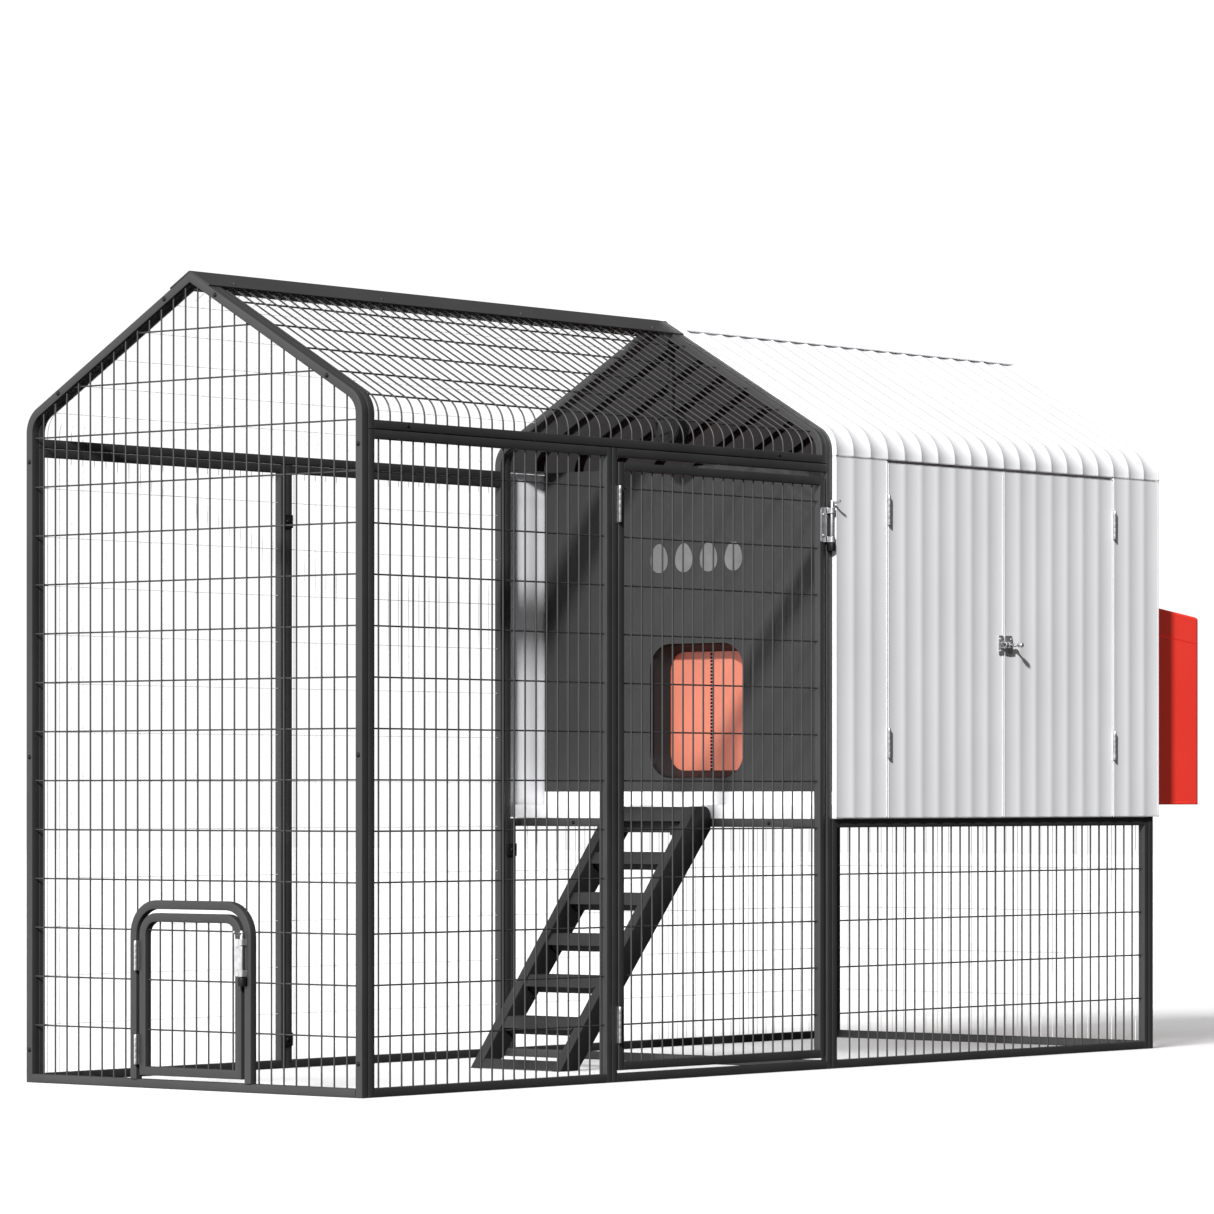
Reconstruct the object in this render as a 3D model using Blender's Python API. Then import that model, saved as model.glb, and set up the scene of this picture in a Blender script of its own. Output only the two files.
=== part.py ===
"""Chicken coop: a walk-in wire run with a raised house, built as separate parts.

Metres, +Z up. X runs from the run's gable end to the nest box, Y from front to back. The origin is on
the ground, at the middle of the whole coop. The wires are a coarse lattice of square bars at the true
places of some of the wires: one upright in four or five, and one cross wire in two or three.
"""

import math

import bmesh
import bpy
from mathutils import Matrix, Vector

for old in list(bpy.data.objects):
    bpy.data.objects.remove(old, do_unlink=True)

# ---- Driving dimensions ----------------------------------------------------------------------------
GAP = 0.0003                      # between pieces that touch
TUBE = 0.020                      # square frame tube
DEPTH = 1.052                     # frame, front to back
HALF = DEPTH / 2
PITCH = math.radians(30)          # roof slope
EAVE = 1.538                      # height where wall and slope would meet unrounded
EAVE_R = 0.066                    # bend of the frame at the eave
APEX = EAVE + HALF * math.tan(PITCH)

RUN_END = -1.703                  # outer face of the gable hoop
HOOP_DEPTH = 0.022
MID_HOOP = RUN_END + 1.670        # front face of the hoop between run and house
HOUSE_START = MID_HOOP + TUBE
END_FACE = RUN_END + 3.072        # outer face of the last hoop
HOUSE_END = END_FACE + 0.008

WIRE = 0.003
WIRE_PITCH = 0.038                # between uprights
WIRE_STEP = 0.113                 # between cross wires
WIRE_FIRST = 0.1324               # height of the lowest cross wire
WIRE_SET = 0.006                  # wires behind the frame's outer face

RAIL_TOP = 1.467                  # top of the wall panels
ROOF_FOOT = 1.4685                # underside of the roof panels
PANEL_JOINT = RUN_END + 0.857     # between the two panels of each long side
DOOR_POST = 0.018
DOOR_LEFT = RUN_END + 0.880
DOOR_RIGHT = RUN_END + 1.662
DOOR_FOOT = 0.027
DOOR_HEAD = 1.435
HINGE_R = 0.004

GATE_CENTRE = -0.0048
GATE_WIDTH = 0.320
GATE_TOP = 0.397
GATE_FOOT = 0.029
GATE_R = 0.050
GATE_GAP = 0.009

UNDER_TOP = 0.605                 # top of the frames under the house
FLOOR_START = RUN_END + 1.728
FLOOR_TOP = 0.640
CLAD = 0.012                      # cladding stands this proud of the frame
FLUTE = 0.0695                    # width of one scooped rib
FLUTE_DEPTH = 0.006
CLAD_FOOT = 0.608
CLAD_SEAM = 1.487                 # between wall and roof cladding
FIXED_FLUTES = 3
DOOR_FLUTES = 7
LEAF_GAP = 0.002                  # half the gap at each edge of a house door

INNER_WALL = RUN_END + 1.845
WALL_T = 0.012
POP_Y = 0.024                     # centre line of the pop opening and the ladder
POP_WIDTH = 0.301
POP_LOW = 0.707
POP_HIGH = 1.046
POP_R = 0.065
POP_REVEAL = 0.062
POP_TAPER = 0.020                 # the opening is this much narrower all round at its back
RACK_PITCH = 0.0088
PINION_TEETH = 12

NEST_HALF = 0.436
NEST_DEPTH = 0.357
NEST_FLOOR = 0.639
NEST_TOP = 1.179
NEST_SLOPE = math.radians(6.5)
NEST_R = 0.030
NEST_SKIRT = 0.072
NEST_T = 0.010

LADDER_SLOPE = math.radians(50)
LADDER_FOOT = RUN_END + 1.147
LADDER_TOP = 0.636
LADDER_END = FLOOR_START - 0.002
LADDER_BACK = 0.076               # level width of a side rail
LADDER_RAIL = 0.028
LADDER_HALF = 0.1435
TREAD_FIRST = 0.124
TREAD_STEP = 0.0995
TREADS = 5

MATERIALS = {
    "frame_paint": ((0.035, 0.036, 0.037, 1), 0.50, 0.0),
    "wire_paint": ((0.055, 0.056, 0.058, 1), 0.45, 0.2),
    "white_shell": ((0.78, 0.78, 0.78, 1), 0.55, 0.0),
    "inner_shell": ((0.060, 0.060, 0.062, 1), 0.60, 0.0),
    "ladder_plastic": ((0.040, 0.041, 0.042, 1), 0.55, 0.0),
    "red_plastic": ((0.80, 0.035, 0.020, 1), 0.45, 0.0),
    "pop_plastic": ((0.85, 0.24, 0.15, 1), 0.50, 0.0),
    "zinc": ((0.62, 0.63, 0.64, 1), 0.35, 1.0),
    "black_plastic": ((0.012, 0.012, 0.012, 1), 0.45, 0.0),
    "timber": ((0.46, 0.30, 0.16, 1), 0.70, 0.0),
}


# ---- Tools -----------------------------------------------------------------------------------------
def material(name):
    """The named Principled material, made once."""
    found = bpy.data.materials.get(name)
    if found:
        return found
    made = bpy.data.materials.new(name)
    made.use_nodes = True
    colour, roughness, metallic = MATERIALS[name]
    shader = made.node_tree.nodes["Principled BSDF"]
    shader.inputs["Base Color"].default_value = colour
    shader.inputs["Roughness"].default_value = roughness
    shader.inputs["Metallic"].default_value = metallic
    made.diffuse_color = colour
    return made


def finish(name, bm, slot, origin=(0, 0, 0), smooth=None):
    """Turn a bmesh into a named object whose own origin is at the given point."""
    bmesh.ops.recalc_face_normals(bm, faces=bm.faces)
    bmesh.ops.translate(bm, verts=bm.verts, vec=-Vector(origin))
    mesh = bpy.data.meshes.new(name)
    bm.to_mesh(mesh)
    bm.free()
    if smooth:
        mesh.shade_smooth()
        mesh.set_sharp_from_angle(angle=math.radians(smooth))
    mesh.materials.append(material(slot))
    made = bpy.data.objects.new(name, mesh)
    made.location = origin
    bpy.context.scene.collection.objects.link(made)
    return made


PLANES = {
    "X": lambda u, v, w: (w, u, v),
    "Y": lambda u, v, w: (u, w, v),
    "Z": lambda u, v, w: (u, v, w),
}


def prism(name, outline, axis, low, high, slot, origin=(0, 0, 0), smooth=None):
    """An outline drawn across an axis and extruded along it from low to high."""
    place = PLANES[axis]
    bm = bmesh.new()
    face = bm.faces.new([bm.verts.new(place(u, v, low)) for u, v in outline])
    moved = bmesh.ops.extrude_face_region(bm, geom=[face])["geom"]
    tops = [item for item in moved if isinstance(item, bmesh.types.BMVert)]
    bmesh.ops.translate(bm, verts=tops, vec=Vector(place(0, 0, high - low)))
    return finish(name, bm, slot, origin, smooth)


def funnel(name, near, far, low, high, slot):
    """A solid between two outlines drawn across X, one at each end."""
    bm = bmesh.new()
    rings = [[bm.verts.new((x, y, z)) for y, z in outline] for outline, x in ((near, low), (far, high))]
    count = len(near)
    for i in range(count):
        j = (i + 1) % count
        bm.faces.new([rings[0][i], rings[0][j], rings[1][j], rings[1][i]])
    for ring in rings:
        bm.faces.new(ring)
    return finish(name, bm, slot, (0, 0, 0), None)


def rectangle(u0, v0, u1, v1):
    return [(u0, v0), (u1, v0), (u1, v1), (u0, v1)]


def box(name, low, high, slot, origin=(0, 0, 0)):
    return prism(name, rectangle(low[0], low[1], high[0], high[1]), "Z", low[2], high[2], slot, origin)


def arc(centre, radius, start, end, steps):
    """Points along an arc, angles in degrees."""
    turns = [math.radians(start + (end - start) * i / steps) for i in range(steps + 1)]
    return [(centre[0] + radius * math.cos(t), centre[1] + radius * math.sin(t)) for t in turns]


def rounded(u0, v0, u1, v1, radii, steps=4):
    """A rectangle with a radius at each corner: low left, low right, high right, high left."""
    corners = [(u0, v0, 1, 1, 180), (u1, v0, -1, 1, 270), (u1, v1, -1, -1, 0), (u0, v1, 1, -1, 90)]
    outline = []
    for (u, v, du, dv, start), radius in zip(corners, radii):
        if radius:
            outline += arc((u + du * radius, v + dv * radius), radius, start, start + 90, steps)
        else:
            outline.append((u, v))
    return outline


def boolean(target, other, operation):
    """Cut, join or trim a piece with another, which is only a guide."""
    other.hide_render = True
    other.display_type = "WIRE"
    step = target.modifiers.new(operation.title(), "BOOLEAN")
    step.operation = operation
    step.solver = "EXACT"
    step.object = other
    return target


def cut(target, *others):
    for other in others:
        boolean(target, other, "DIFFERENCE")
    return target


def join(target, *others):
    for other in others:
        boolean(target, other, "UNION")
    return target


def bar_edges(span, centres, half, extra=()):
    """Cell borders for bars at the given centres, and whether each cell lies in a bar."""
    edges = {round(p, 6) for p in (*span, *extra)}
    edges |= {round(c + s, 6) for c in centres for s in (-half, half)}
    edges = sorted(e for e in edges if span[0] - 1e-6 <= e <= span[1] + 1e-6)
    inside = [any(abs((a + b) / 2 - c) < half for c in centres) for a, b in zip(edges, edges[1:])]
    return edges, inside


def lattice(name, columns, rows, u_span, v_span, bar, layers, place, slot, bends=(), origin=(0, 0, 0)):
    """Crossing bars as one closed body; place(u, v, w) says where each point lies."""
    us, in_column = bar_edges(u_span, columns, bar / 2)
    vs, in_row = bar_edges(v_span, rows, bar / 2, bends)
    bm = bmesh.new()
    made = {}

    def point(i, j, k):
        if (i, j, k) not in made:
            made[i, j, k] = bm.verts.new(place(us[i], vs[j], layers[k]))
        return made[i, j, k]

    def solid(i, j):
        return 0 <= i < len(in_column) and 0 <= j < len(in_row) and (in_column[i] or in_row[j])

    for i in range(len(in_column)):
        for j in range(len(in_row)):
            if not solid(i, j):
                continue
            ring = [(i, j), (i + 1, j), (i + 1, j + 1), (i, j + 1)]
            for k in (0, 1):
                bm.faces.new([point(a, b, k) for a, b in ring])
            beyond = [(i, j - 1), (i + 1, j), (i, j + 1), (i - 1, j)]
            for (a, b), (c, d), other in zip(ring, ring[1:] + ring[:1], beyond):
                if not solid(*other):
                    bm.faces.new([point(a, b, 0), point(c, d, 0), point(c, d, 1), point(a, b, 1)])
    return finish(name, bm, slot, origin)


def run_of(first, last, pitch, every, skip=0):
    """Every so many of the wires that stand at one pitch from first to last."""
    count = round((last - first) / pitch)
    return [first + pitch * i for i in range(skip, count + 1, every)]


def arch(inset, foot):
    """The hoop's outline across the coop, inset from the outside, from one foot round to the other."""
    half = HALF - inset
    radius = EAVE_R - inset
    level = EAVE - EAVE_R * math.tan(PITCH)
    side = arc((HALF - EAVE_R, level), radius, 0, 60, 4)
    top = APEX - inset / math.cos(PITCH)
    right = [(half, foot), *side]
    return [*right, (0, top), *[(-y, z) for y, z in reversed(right)]]


BEND_START = EAVE - EAVE_R * math.tan(PITCH)
BEND_LENGTH = EAVE_R * math.radians(60)
SLOPE_LENGTH = HALF / math.cos(PITCH) - EAVE_R * math.tan(PITCH)
RIDGE_S = BEND_LENGTH + SLOPE_LENGTH
BENDS = [BEND_LENGTH * i / 4 for i in range(5)]


def roof_place(side):
    """Maps (x, distance up the wall and slope from the bend's start, depth in) to a point."""

    def place(x, s, depth):
        if s <= 0:
            return (x, side * (HALF - depth), BEND_START + s)
        turn = min(s, BEND_LENGTH) / EAVE_R
        y = HALF - EAVE_R + (EAVE_R - depth) * math.cos(turn)
        z = BEND_START + (EAVE_R - depth) * math.sin(turn)
        rest = max(0, s - BEND_LENGTH)
        return (x, side * (y - rest * math.cos(PITCH)), z + rest * math.sin(PITCH))

    return place


# ---- Wire panels -----------------------------------------------------------------------------------
def wall_place(face, inward):
    """Maps (x, height, depth in) to a point of a long side."""
    return lambda x, z, depth: (x, face + inward * depth, z)


def wire_rows(top, every, skip):
    return run_of(WIRE_FIRST, top, WIRE_STEP, every, skip)


def long_panel(name, x0, x1, face, inward, columns):
    """A welded tube frame and its wires, as two pieces."""
    place = wall_place(face, inward)
    half = TUBE / 2
    lattice(name + "_frame", [x0 + half, x1 - half], [half, RAIL_TOP - half], (x0, x1), (0, RAIL_TOP),
            TUBE, (0, TUBE), place, "frame_paint")
    inner = TUBE + GAP
    lattice(name + "_mesh", columns, SIDE_ROWS, (x0 + inner, x1 - inner), (inner, RAIL_TOP - inner),
            WIRE, (WIRE_SET, WIRE_SET + WIRE), place, "wire_paint")


FRONT, BACK = -HALF, HALF
PANEL_START = RUN_END + HOOP_DEPTH + GAP
LEFT_WIRES = run_of(RUN_END + 0.062, RUN_END + 0.822, WIRE_PITCH, 5, 2)
DOOR_WIRES = run_of(RUN_END + 0.934, RUN_END + 1.618, WIRE_PITCH, 5, 2)
SIDE_ROWS = wire_rows(1.38, 3, 1)



def run_door_surround():
    """Post, head and sill around the person's door; the hoop is its right post."""
    post = PANEL_JOINT + DOOR_POST
    end = MID_HOOP - GAP
    outline = [(PANEL_JOINT, 0), (end, 0), (end, TUBE), (post, TUBE), (post, RAIL_TOP - TUBE),
               (end, RAIL_TOP - TUBE), (end, RAIL_TOP), (PANEL_JOINT, RAIL_TOP)]
    prism("run_door_surround", outline, "Y", FRONT, FRONT + TUBE, "frame_paint")


def run_door():
    """The door leaf, hinged on its left."""
    axis = (DOOR_LEFT - 0.004, FRONT - 0.0065, 0)
    place = wall_place(FRONT, 1)
    half = TUBE / 2
    inner = TUBE + GAP
    lattice("run_door_frame", [DOOR_LEFT + half, DOOR_RIGHT - half], [DOOR_FOOT + half, DOOR_HEAD - half],
            (DOOR_LEFT, DOOR_RIGHT), (DOOR_FOOT, DOOR_HEAD), TUBE, (0, TUBE), place, "frame_paint",
            origin=axis)
    lattice("run_door_mesh", DOOR_WIRES, SIDE_ROWS, (DOOR_LEFT + inner, DOOR_RIGHT - inner),
            (DOOR_FOOT + inner, DOOR_HEAD - inner), WIRE, (WIRE_SET, WIRE_SET + WIRE), place,
            "wire_paint", origin=axis)
    for end, low in (("upper", 1.295), ("lower", 0.090)):
        hinge("run_door_hinge_" + end, axis, low, 0.085, (0, 1), 0.0013)


def hinge(name, axis, low, length, inward, leaf_shift, leaf=0.014):
    """A barrel on the joint's axis with a leaf that lies in the gap beside the moving piece."""
    across = Vector((inward[1], -inward[0]))
    into = Vector(inward)
    half_leaf = 0.0006
    side = across * leaf_shift
    start = math.degrees(math.atan2(into.y, into.x))
    spread = 24
    barrel = arc((axis[0], axis[1]), HINGE_R, start + spread, start + 360 - spread, 10)
    base = Vector(axis[:2]) + side
    near = base + into * HINGE_R * 0.9
    far = base + into * (HINGE_R + leaf)
    tongue = [near + across * half_leaf, far + across * half_leaf, far - across * half_leaf,
              near - across * half_leaf]
    made = prism(name, barrel, "Z", low, low + length, "zinc", origin=axis, smooth=40)
    guide = prism(name + "_leaf", [tuple(p) for p in tongue], "Z", low, low + length, "zinc", origin=axis)
    return join(made, guide)


def latch(prefix, origin, turn, reach):
    """An upright sliding bolt: plate with two loops on the leaf, bolt, and a socket on the post.

    Drawn for a leaf that faces -Y with the post at +X, then turned about Z and moved to its place.
    """
    height = 0.084
    plate_t = 0.002
    loop_r = 0.0052
    rod_r = 0.004
    back = -GAP
    rod = (reach, back - plate_t - 0.0075)
    travel = 0.009
    loop = 0.014
    half_loop = 0.0078
    turned = Matrix.Translation(Vector(origin)) @ Matrix.Rotation(turn, 4, "Z")

    def put(made):
        made.data.transform(turned)
        return made

    plate = put(box(prefix + "_latch_plate", (0, back - plate_t, -height / 2),
                    (rod[0] + half_loop, back, height / 2), "zinc"))
    for sign in (-1, 1):
        middle = sign * (height / 2 - loop / 2)
        guide = put(box(prefix + "_loop", (rod[0] - half_loop, rod[1] - half_loop, middle - loop / 2),
                        (rod[0] + half_loop, back - plate_t / 2, middle + loop / 2), "zinc"))
        join(plate, guide)
    hole = put(prism(prefix + "_bore", arc(rod, loop_r, 0, 330, 11), "Z", -height, height, "zinc"))
    cut(plate, hole)
    foot = -height / 2 - 0.001
    grip = height / 2 + travel + 0.002
    bolt = put(prism(prefix + "_latch_bolt", arc(rod, rod_r, 0, 330, 11), "Z", foot, grip + 0.008, "zinc",
                     smooth=40))
    handle = put(box(prefix + "_handle", (rod[0] - 0.003, rod[1] - 0.026, grip),
                     (rod[0] + 0.003, rod[1], grip + 0.006), "zinc"))
    join(bolt, handle)
    top = foot - 0.001
    socket = put(box(prefix + "_latch_socket", (rod[0] - 0.0085, rod[1] - 0.0085, top - travel - 0.010),
                     (rod[0] + 0.0085, back, top), "black_plastic"))
    cut(socket, put(prism(prefix + "_socket_bore", arc(rod, loop_r, 0, 330, 11), "Z", -height, 0,
                          "black_plastic")))


def gable_place(depth_face):
    return lambda y, z, depth: (depth_face + depth, y, z)


def run_end():
    """The gable hoop, its wires and the small gate's surround and leaf."""
    hoop = prism("run_end_hoop", arch(0, 0), "X", RUN_END, RUN_END + HOOP_DEPTH, "frame_paint")
    cut(hoop, prism("run_end_window", arch(TUBE, TUBE), "X", RUN_END - 1, RUN_END + 1, "frame_paint"))
    columns = run_of(-0.475, 0.475, WIRE_PITCH, 5)
    rows = wire_rows(APEX - 0.03, 3, 1)
    wires = lattice("run_end_mesh", columns, rows, (-HALF, HALF), (TUBE + GAP, APEX), WIRE,
                    (WIRE_SET, WIRE_SET + WIRE), gable_place(RUN_END), "wire_paint")
    inner = TUBE + GAP
    boolean(wires, prism("run_end_mesh_trim", arch(inner, inner), "X", RUN_END - 1, RUN_END + 1,
                         "wire_paint"), "INTERSECT")
    half = GATE_WIDTH / 2
    y0, y1 = GATE_CENTRE - half, GATE_CENTRE + half
    out = GATE_GAP + TUBE
    radius = GATE_R + out
    surround = prism("gate_surround", rounded(y0 - out, inner, y1 + out, GATE_TOP + out,
                                              (0, 0, radius, radius)),
                     "X", RUN_END - 0.004, RUN_END + 0.016, "frame_paint")
    cut(surround, prism("gate_way", rounded(y0 - GATE_GAP, -1, y1 + GATE_GAP, GATE_TOP + GATE_GAP,
                                            (0, 0, GATE_R + GATE_GAP, GATE_R + GATE_GAP)),
                        "X", RUN_END - 1, RUN_END + 1, "frame_paint"))
    cut(wires, prism("gate_notch", rounded(y0 - out - GAP, -1, y1 + out + GAP, GATE_TOP + out + GAP,
                                           (0, 0, radius, radius)),
                     "X", RUN_END - 1, RUN_END + 1, "wire_paint"))
    axis = (RUN_END - 0.0105, y1 + GATE_GAP / 2, 0)
    leaf = prism("gate_leaf", rounded(y0, GATE_FOOT, y1, GATE_TOP, (0, 0, GATE_R, GATE_R)), "X",
                 RUN_END - 0.004, RUN_END + 0.016, "frame_paint", origin=axis)
    window = rounded(y0 + TUBE, GATE_FOOT + TUBE, y1 - TUBE, GATE_TOP - TUBE,
                     (0, 0, GATE_R - TUBE, GATE_R - TUBE))
    cut(leaf, prism("gate_window", window, "X", RUN_END - 1, RUN_END + 1, "frame_paint"))
    bite = TUBE - 0.003
    wires = lattice("gate_wires", run_of(-0.095, 0.095, WIRE_PITCH, 1)[1:-1:2], wire_rows(0.36, 1, 0)[:2],
                    (y0 + bite, y1 - bite), (GATE_FOOT + bite, GATE_TOP - bite), WIRE,
                    (WIRE_SET, WIRE_SET + WIRE), gable_place(RUN_END - 0.004), "wire_paint", origin=axis)
    join(leaf, wires)
    for end, low in (("upper", 0.266), ("lower", 0.053)):
        hinge("gate_hinge_" + end, axis, low, 0.068, (1, 0), 0.0012)
    return y0


def run_roof():
    """A bent tube frame and bent wires on each slope, under one ridge cap."""
    x0, x1 = RUN_END + HOOP_DEPTH + GAP, MID_HOOP - GAP
    half = TUBE / 2
    low = ROOF_FOOT - BEND_START
    high = RIDGE_S - 0.013
    wires = run_of(x0 + 0.040, x1 - 0.030, WIRE_PITCH, 5, 3)
    across = run_of(0.0, high - TUBE - 0.03, WIRE_STEP, 2, 1)
    for name, side in (("front", -1), ("back", 1)):
        place = roof_place(side)
        lattice(f"run_roof_{name}_frame", [x0 + half, x1 - half], [low + half, high - half], (x0, x1),
                (low, high), TUBE, (0, TUBE), place, "frame_paint", bends=BENDS)
        inner = TUBE + GAP
        lattice(f"run_roof_{name}_mesh", wires, across, (x0 + inner, x1 - inner),
                (low + inner, high - inner), WIRE, (WIRE_SET, WIRE_SET + WIRE), place, "wire_paint",
                bends=BENDS)
    ridge_cap("run_ridge_cap", RUN_END, MID_HOOP + TUBE - GAP, GAP, 0.003, 0.070, "frame_paint")


def ridge_cap(name, x0, x1, lift, thickness, leg, slot):
    """A folded strip that rides above the ridge by lift, measured square to the slopes."""
    low = APEX + lift / math.cos(PITCH)
    high = APEX + (lift + thickness) / math.cos(PITCH)
    run, drop = leg * math.cos(PITCH), leg * math.sin(PITCH)
    out = thickness * math.sin(PITCH)
    rise = thickness * math.cos(PITCH)
    right = [(run, low - drop), (run + out, low - drop + rise)]
    outline = [(0, low), *right, (0, high), *[(-y, z) for y, z in reversed(right)]]
    return prism(name, outline, "X", x0, x1, slot)


def house_hoop(name, x0, x1, cross_beam):
    """A hoop with a sill on the ground; the cross beam under the floor is part of the last one."""
    hoop = prism(name, arch(0, 0), "X", x0, x1, "frame_paint")
    if cross_beam:
        lower = rectangle(-HALF + TUBE, TUBE, HALF - TUBE, UNDER_TOP - TUBE)
        cut(hoop, prism(name + "_low_window", lower, "X", x0 - 1, x1 + 1, "frame_paint"))
        cut(hoop, prism(name + "_window", arch(TUBE, UNDER_TOP), "X", x0 - 1, x1 + 1, "frame_paint"))
    else:
        cut(hoop, prism(name + "_window", arch(TUBE, TUBE), "X", x0 - 1, x1 + 1, "frame_paint"))


def under_house():
    """Framed wire panels below the house, one welded piece at the front and one at the back."""
    x0, x1 = HOUSE_START + GAP, END_FACE - TUBE - GAP
    half = TUBE / 2
    columns = run_of(RUN_END + 1.769, RUN_END + 2.985, WIRE_PITCH, 4, 2)
    rows = wire_rows(0.48, 2, 0)
    top = UNDER_TOP
    for name, face, inward in (("front", FRONT, 1), ("back", BACK, -1)):
        place = wall_place(face, inward)
        frame = lattice(f"underhouse_{name}_panel", [x0 + half, x1 - half], [half, top - half],
                        (x0, x1), (0, top), TUBE, (0, TUBE), place, "frame_paint")
        bite = TUBE - 0.003
        wires = lattice(f"underhouse_{name}_wires", columns, rows, (x0 + bite, x1 - bite),
                        (bite, top - bite), WIRE, (WIRE_SET, WIRE_SET + WIRE), place, "wire_paint")
        join(frame, wires)
    inner = TUBE + GAP
    lattice("underhouse_end_mesh", run_of(-0.475, 0.475, WIRE_PITCH, 5), rows, (-HALF + inner, HALF - inner),
            (inner, top - inner), WIRE, (-WIRE_SET - WIRE, -WIRE_SET), gable_place(END_FACE), "wire_paint")
    box("floor_beam", (FLOOR_START, FRONT + TUBE + GAP, top - TUBE),
        (FLOOR_START + TUBE, BACK - TUBE - GAP, top), "frame_paint")


# ---- House -----------------------------------------------------------------------------------------
def fluted(name, x0, first, count, x1, stations, place, inner_depth=0.0, origin=(0, 0, 0)):
    """A sheet with scooped ribs outside and a plain inner face, following the given stations."""
    us = [(x0, 0.0)]
    for i in range(count):
        us += [(first + FLUTE * (i + 0.5), FLUTE_DEPTH), (first + FLUTE * (i + 1), 0.0)]
    us[-1] = (x1, 0.0)
    bm = bmesh.new()
    outer = [[bm.verts.new(place(u, v, scoop - CLAD)) for v in stations] for u, scoop in us]
    inner = [[bm.verts.new(place(u, v, inner_depth)) for v in stations] for u, _ in us]
    columns, rows = len(us), len(stations)
    for i in range(columns - 1):
        for j in range(rows - 1):
            for sheet in (outer, inner):
                bm.faces.new([sheet[i][j], sheet[i + 1][j], sheet[i + 1][j + 1], sheet[i][j + 1]])
        for j in (0, rows - 1):
            bm.faces.new([outer[i][j], outer[i + 1][j], inner[i + 1][j], inner[i][j]])
    for j in range(rows - 1):
        for i in (0, columns - 1):
            bm.faces.new([outer[i][j], outer[i][j + 1], inner[i][j + 1], inner[i][j]])
    return finish(name, bm, "white_shell", origin)


def house_walls():
    """Front wall in two fixed parts and two doors, back wall, end wall, roof halves and ridge cap."""
    front, back = wall_place(FRONT - GAP, 1), wall_place(BACK + GAP, -1)
    door_line = HOUSE_START + FIXED_FLUTES * FLUTE
    middle = door_line + DOOR_FLUTES * FLUTE
    right_line = middle + DOOR_FLUTES * FLUTE
    end = right_line + FIXED_FLUTES * FLUTE
    wall = (CLAD_FOOT, CLAD_SEAM - GAP)
    leaf = (CLAD_FOOT, CLAD_SEAM - 0.006)
    start = HOUSE_START + GAP
    fluted("house_front_left_wall", start, HOUSE_START, FIXED_FLUTES, door_line - LEAF_GAP, wall, front)
    fluted("house_front_right_wall", right_line + LEAF_GAP, right_line, FIXED_FLUTES, end, wall, front)
    pivot = FRONT - GAP - CLAD - HINGE_R - GAP
    left_axis = (door_line, pivot, 0)
    right_axis = (right_line, pivot, 0)
    fluted("house_door_left", door_line + LEAF_GAP, door_line, DOOR_FLUTES, middle - LEAF_GAP, leaf, front,
           origin=left_axis)
    fluted("house_door_right", middle + LEAF_GAP, middle, DOOR_FLUTES, right_line - LEAF_GAP, leaf, front,
           origin=right_axis)
    for end_name, low in (("upper", 1.327), ("lower", 0.755)):
        hinge("house_hinge_left_" + end_name, left_axis, low, 0.074, (0, 1), 0.0006, leaf=0.011)
        hinge("house_hinge_right_" + end_name, right_axis, low, 0.074, (0, 1), -0.0006, leaf=0.011)
    house_latch(middle)
    fluted("house_back_wall", start, HOUSE_START, 2 * (FIXED_FLUTES + DOOR_FLUTES), end, wall, back)
    foot = CLAD_SEAM - BEND_START
    top = RIDGE_S + CLAD * math.tan(PITCH) - 0.016
    for name, side in (("front", -1), ("back", 1)):
        fluted(f"house_roof_{name}", start, HOUSE_START, 2 * (FIXED_FLUTES + DOOR_FLUTES), end,
               (foot, *BENDS, top), roof_place(side), inner_depth=-GAP)
    ridge_cap("house_ridge_cap", HOUSE_START + GAP, end, CLAD + GAP, 0.0025, 0.080, "white_shell")
    back_panel = prism("house_end_wall", [(-HALF + GAP, CLAD_FOOT), (HALF - GAP, CLAD_FOOT),
                                          *arch(GAP, CLAD_FOOT)[1:-1]], "X", END_FACE + GAP, HOUSE_END,
                       "white_shell")
    way = rectangle(-NEST_HALF + 0.036, 0.720, NEST_HALF - 0.036, 1.040)
    cut(back_panel, prism("nest_way", way, "X", END_FACE - 1, HOUSE_END + 1, "white_shell"))


def house_latch(middle):
    """A level sliding bolt on the right door and its keeper on the left door."""
    z = 1.043
    face = FRONT - CLAD - 2 * GAP
    plate = 0.0018
    rod = (face - plate - 0.0075, z)
    half = 0.008
    base = box("house_latch_base", (middle + 0.0025, face - plate, z - 0.024),
               (middle + 0.034, face, z + 0.024), "zinc")
    loop = box("house_latch_loop", (middle + 0.0025, rod[0] - half, z - half),
               (middle + 0.012, face - plate / 2, z + half), "zinc")
    bore = prism("house_latch_bore", arc(rod, 0.0052, 0, 330, 11), "X", middle - 1, middle + 1, "zinc")
    cut(join(base, loop), bore)
    keeper = box("house_latch_keeper", (middle - 0.024, face - plate, z - 0.024),
                 (middle - 0.0025, face, z + 0.024), "zinc")
    eye = box("house_keeper_eye", (middle - 0.012, rod[0] - half, z - half),
              (middle - 0.0025, face - plate / 2, z + half), "zinc")
    cut(join(keeper, eye), prism("house_keeper_bore", arc(rod, 0.0052, 0, 330, 11), "X", middle - 1,
                                 middle + 1, "zinc"))
    bolt = prism("house_latch_bolt", arc(rod, 0.004, 0, 330, 11), "X", middle, middle + 0.040, "zinc",
                 smooth=40)
    knob = prism("house_latch_knob", arc((middle + 0.030, z), 0.0065, 0, 330, 11), "Y", rod[0] - 0.028,
                 rod[0] + 0.002, "zinc", smooth=40)
    join(bolt, knob)


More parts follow.
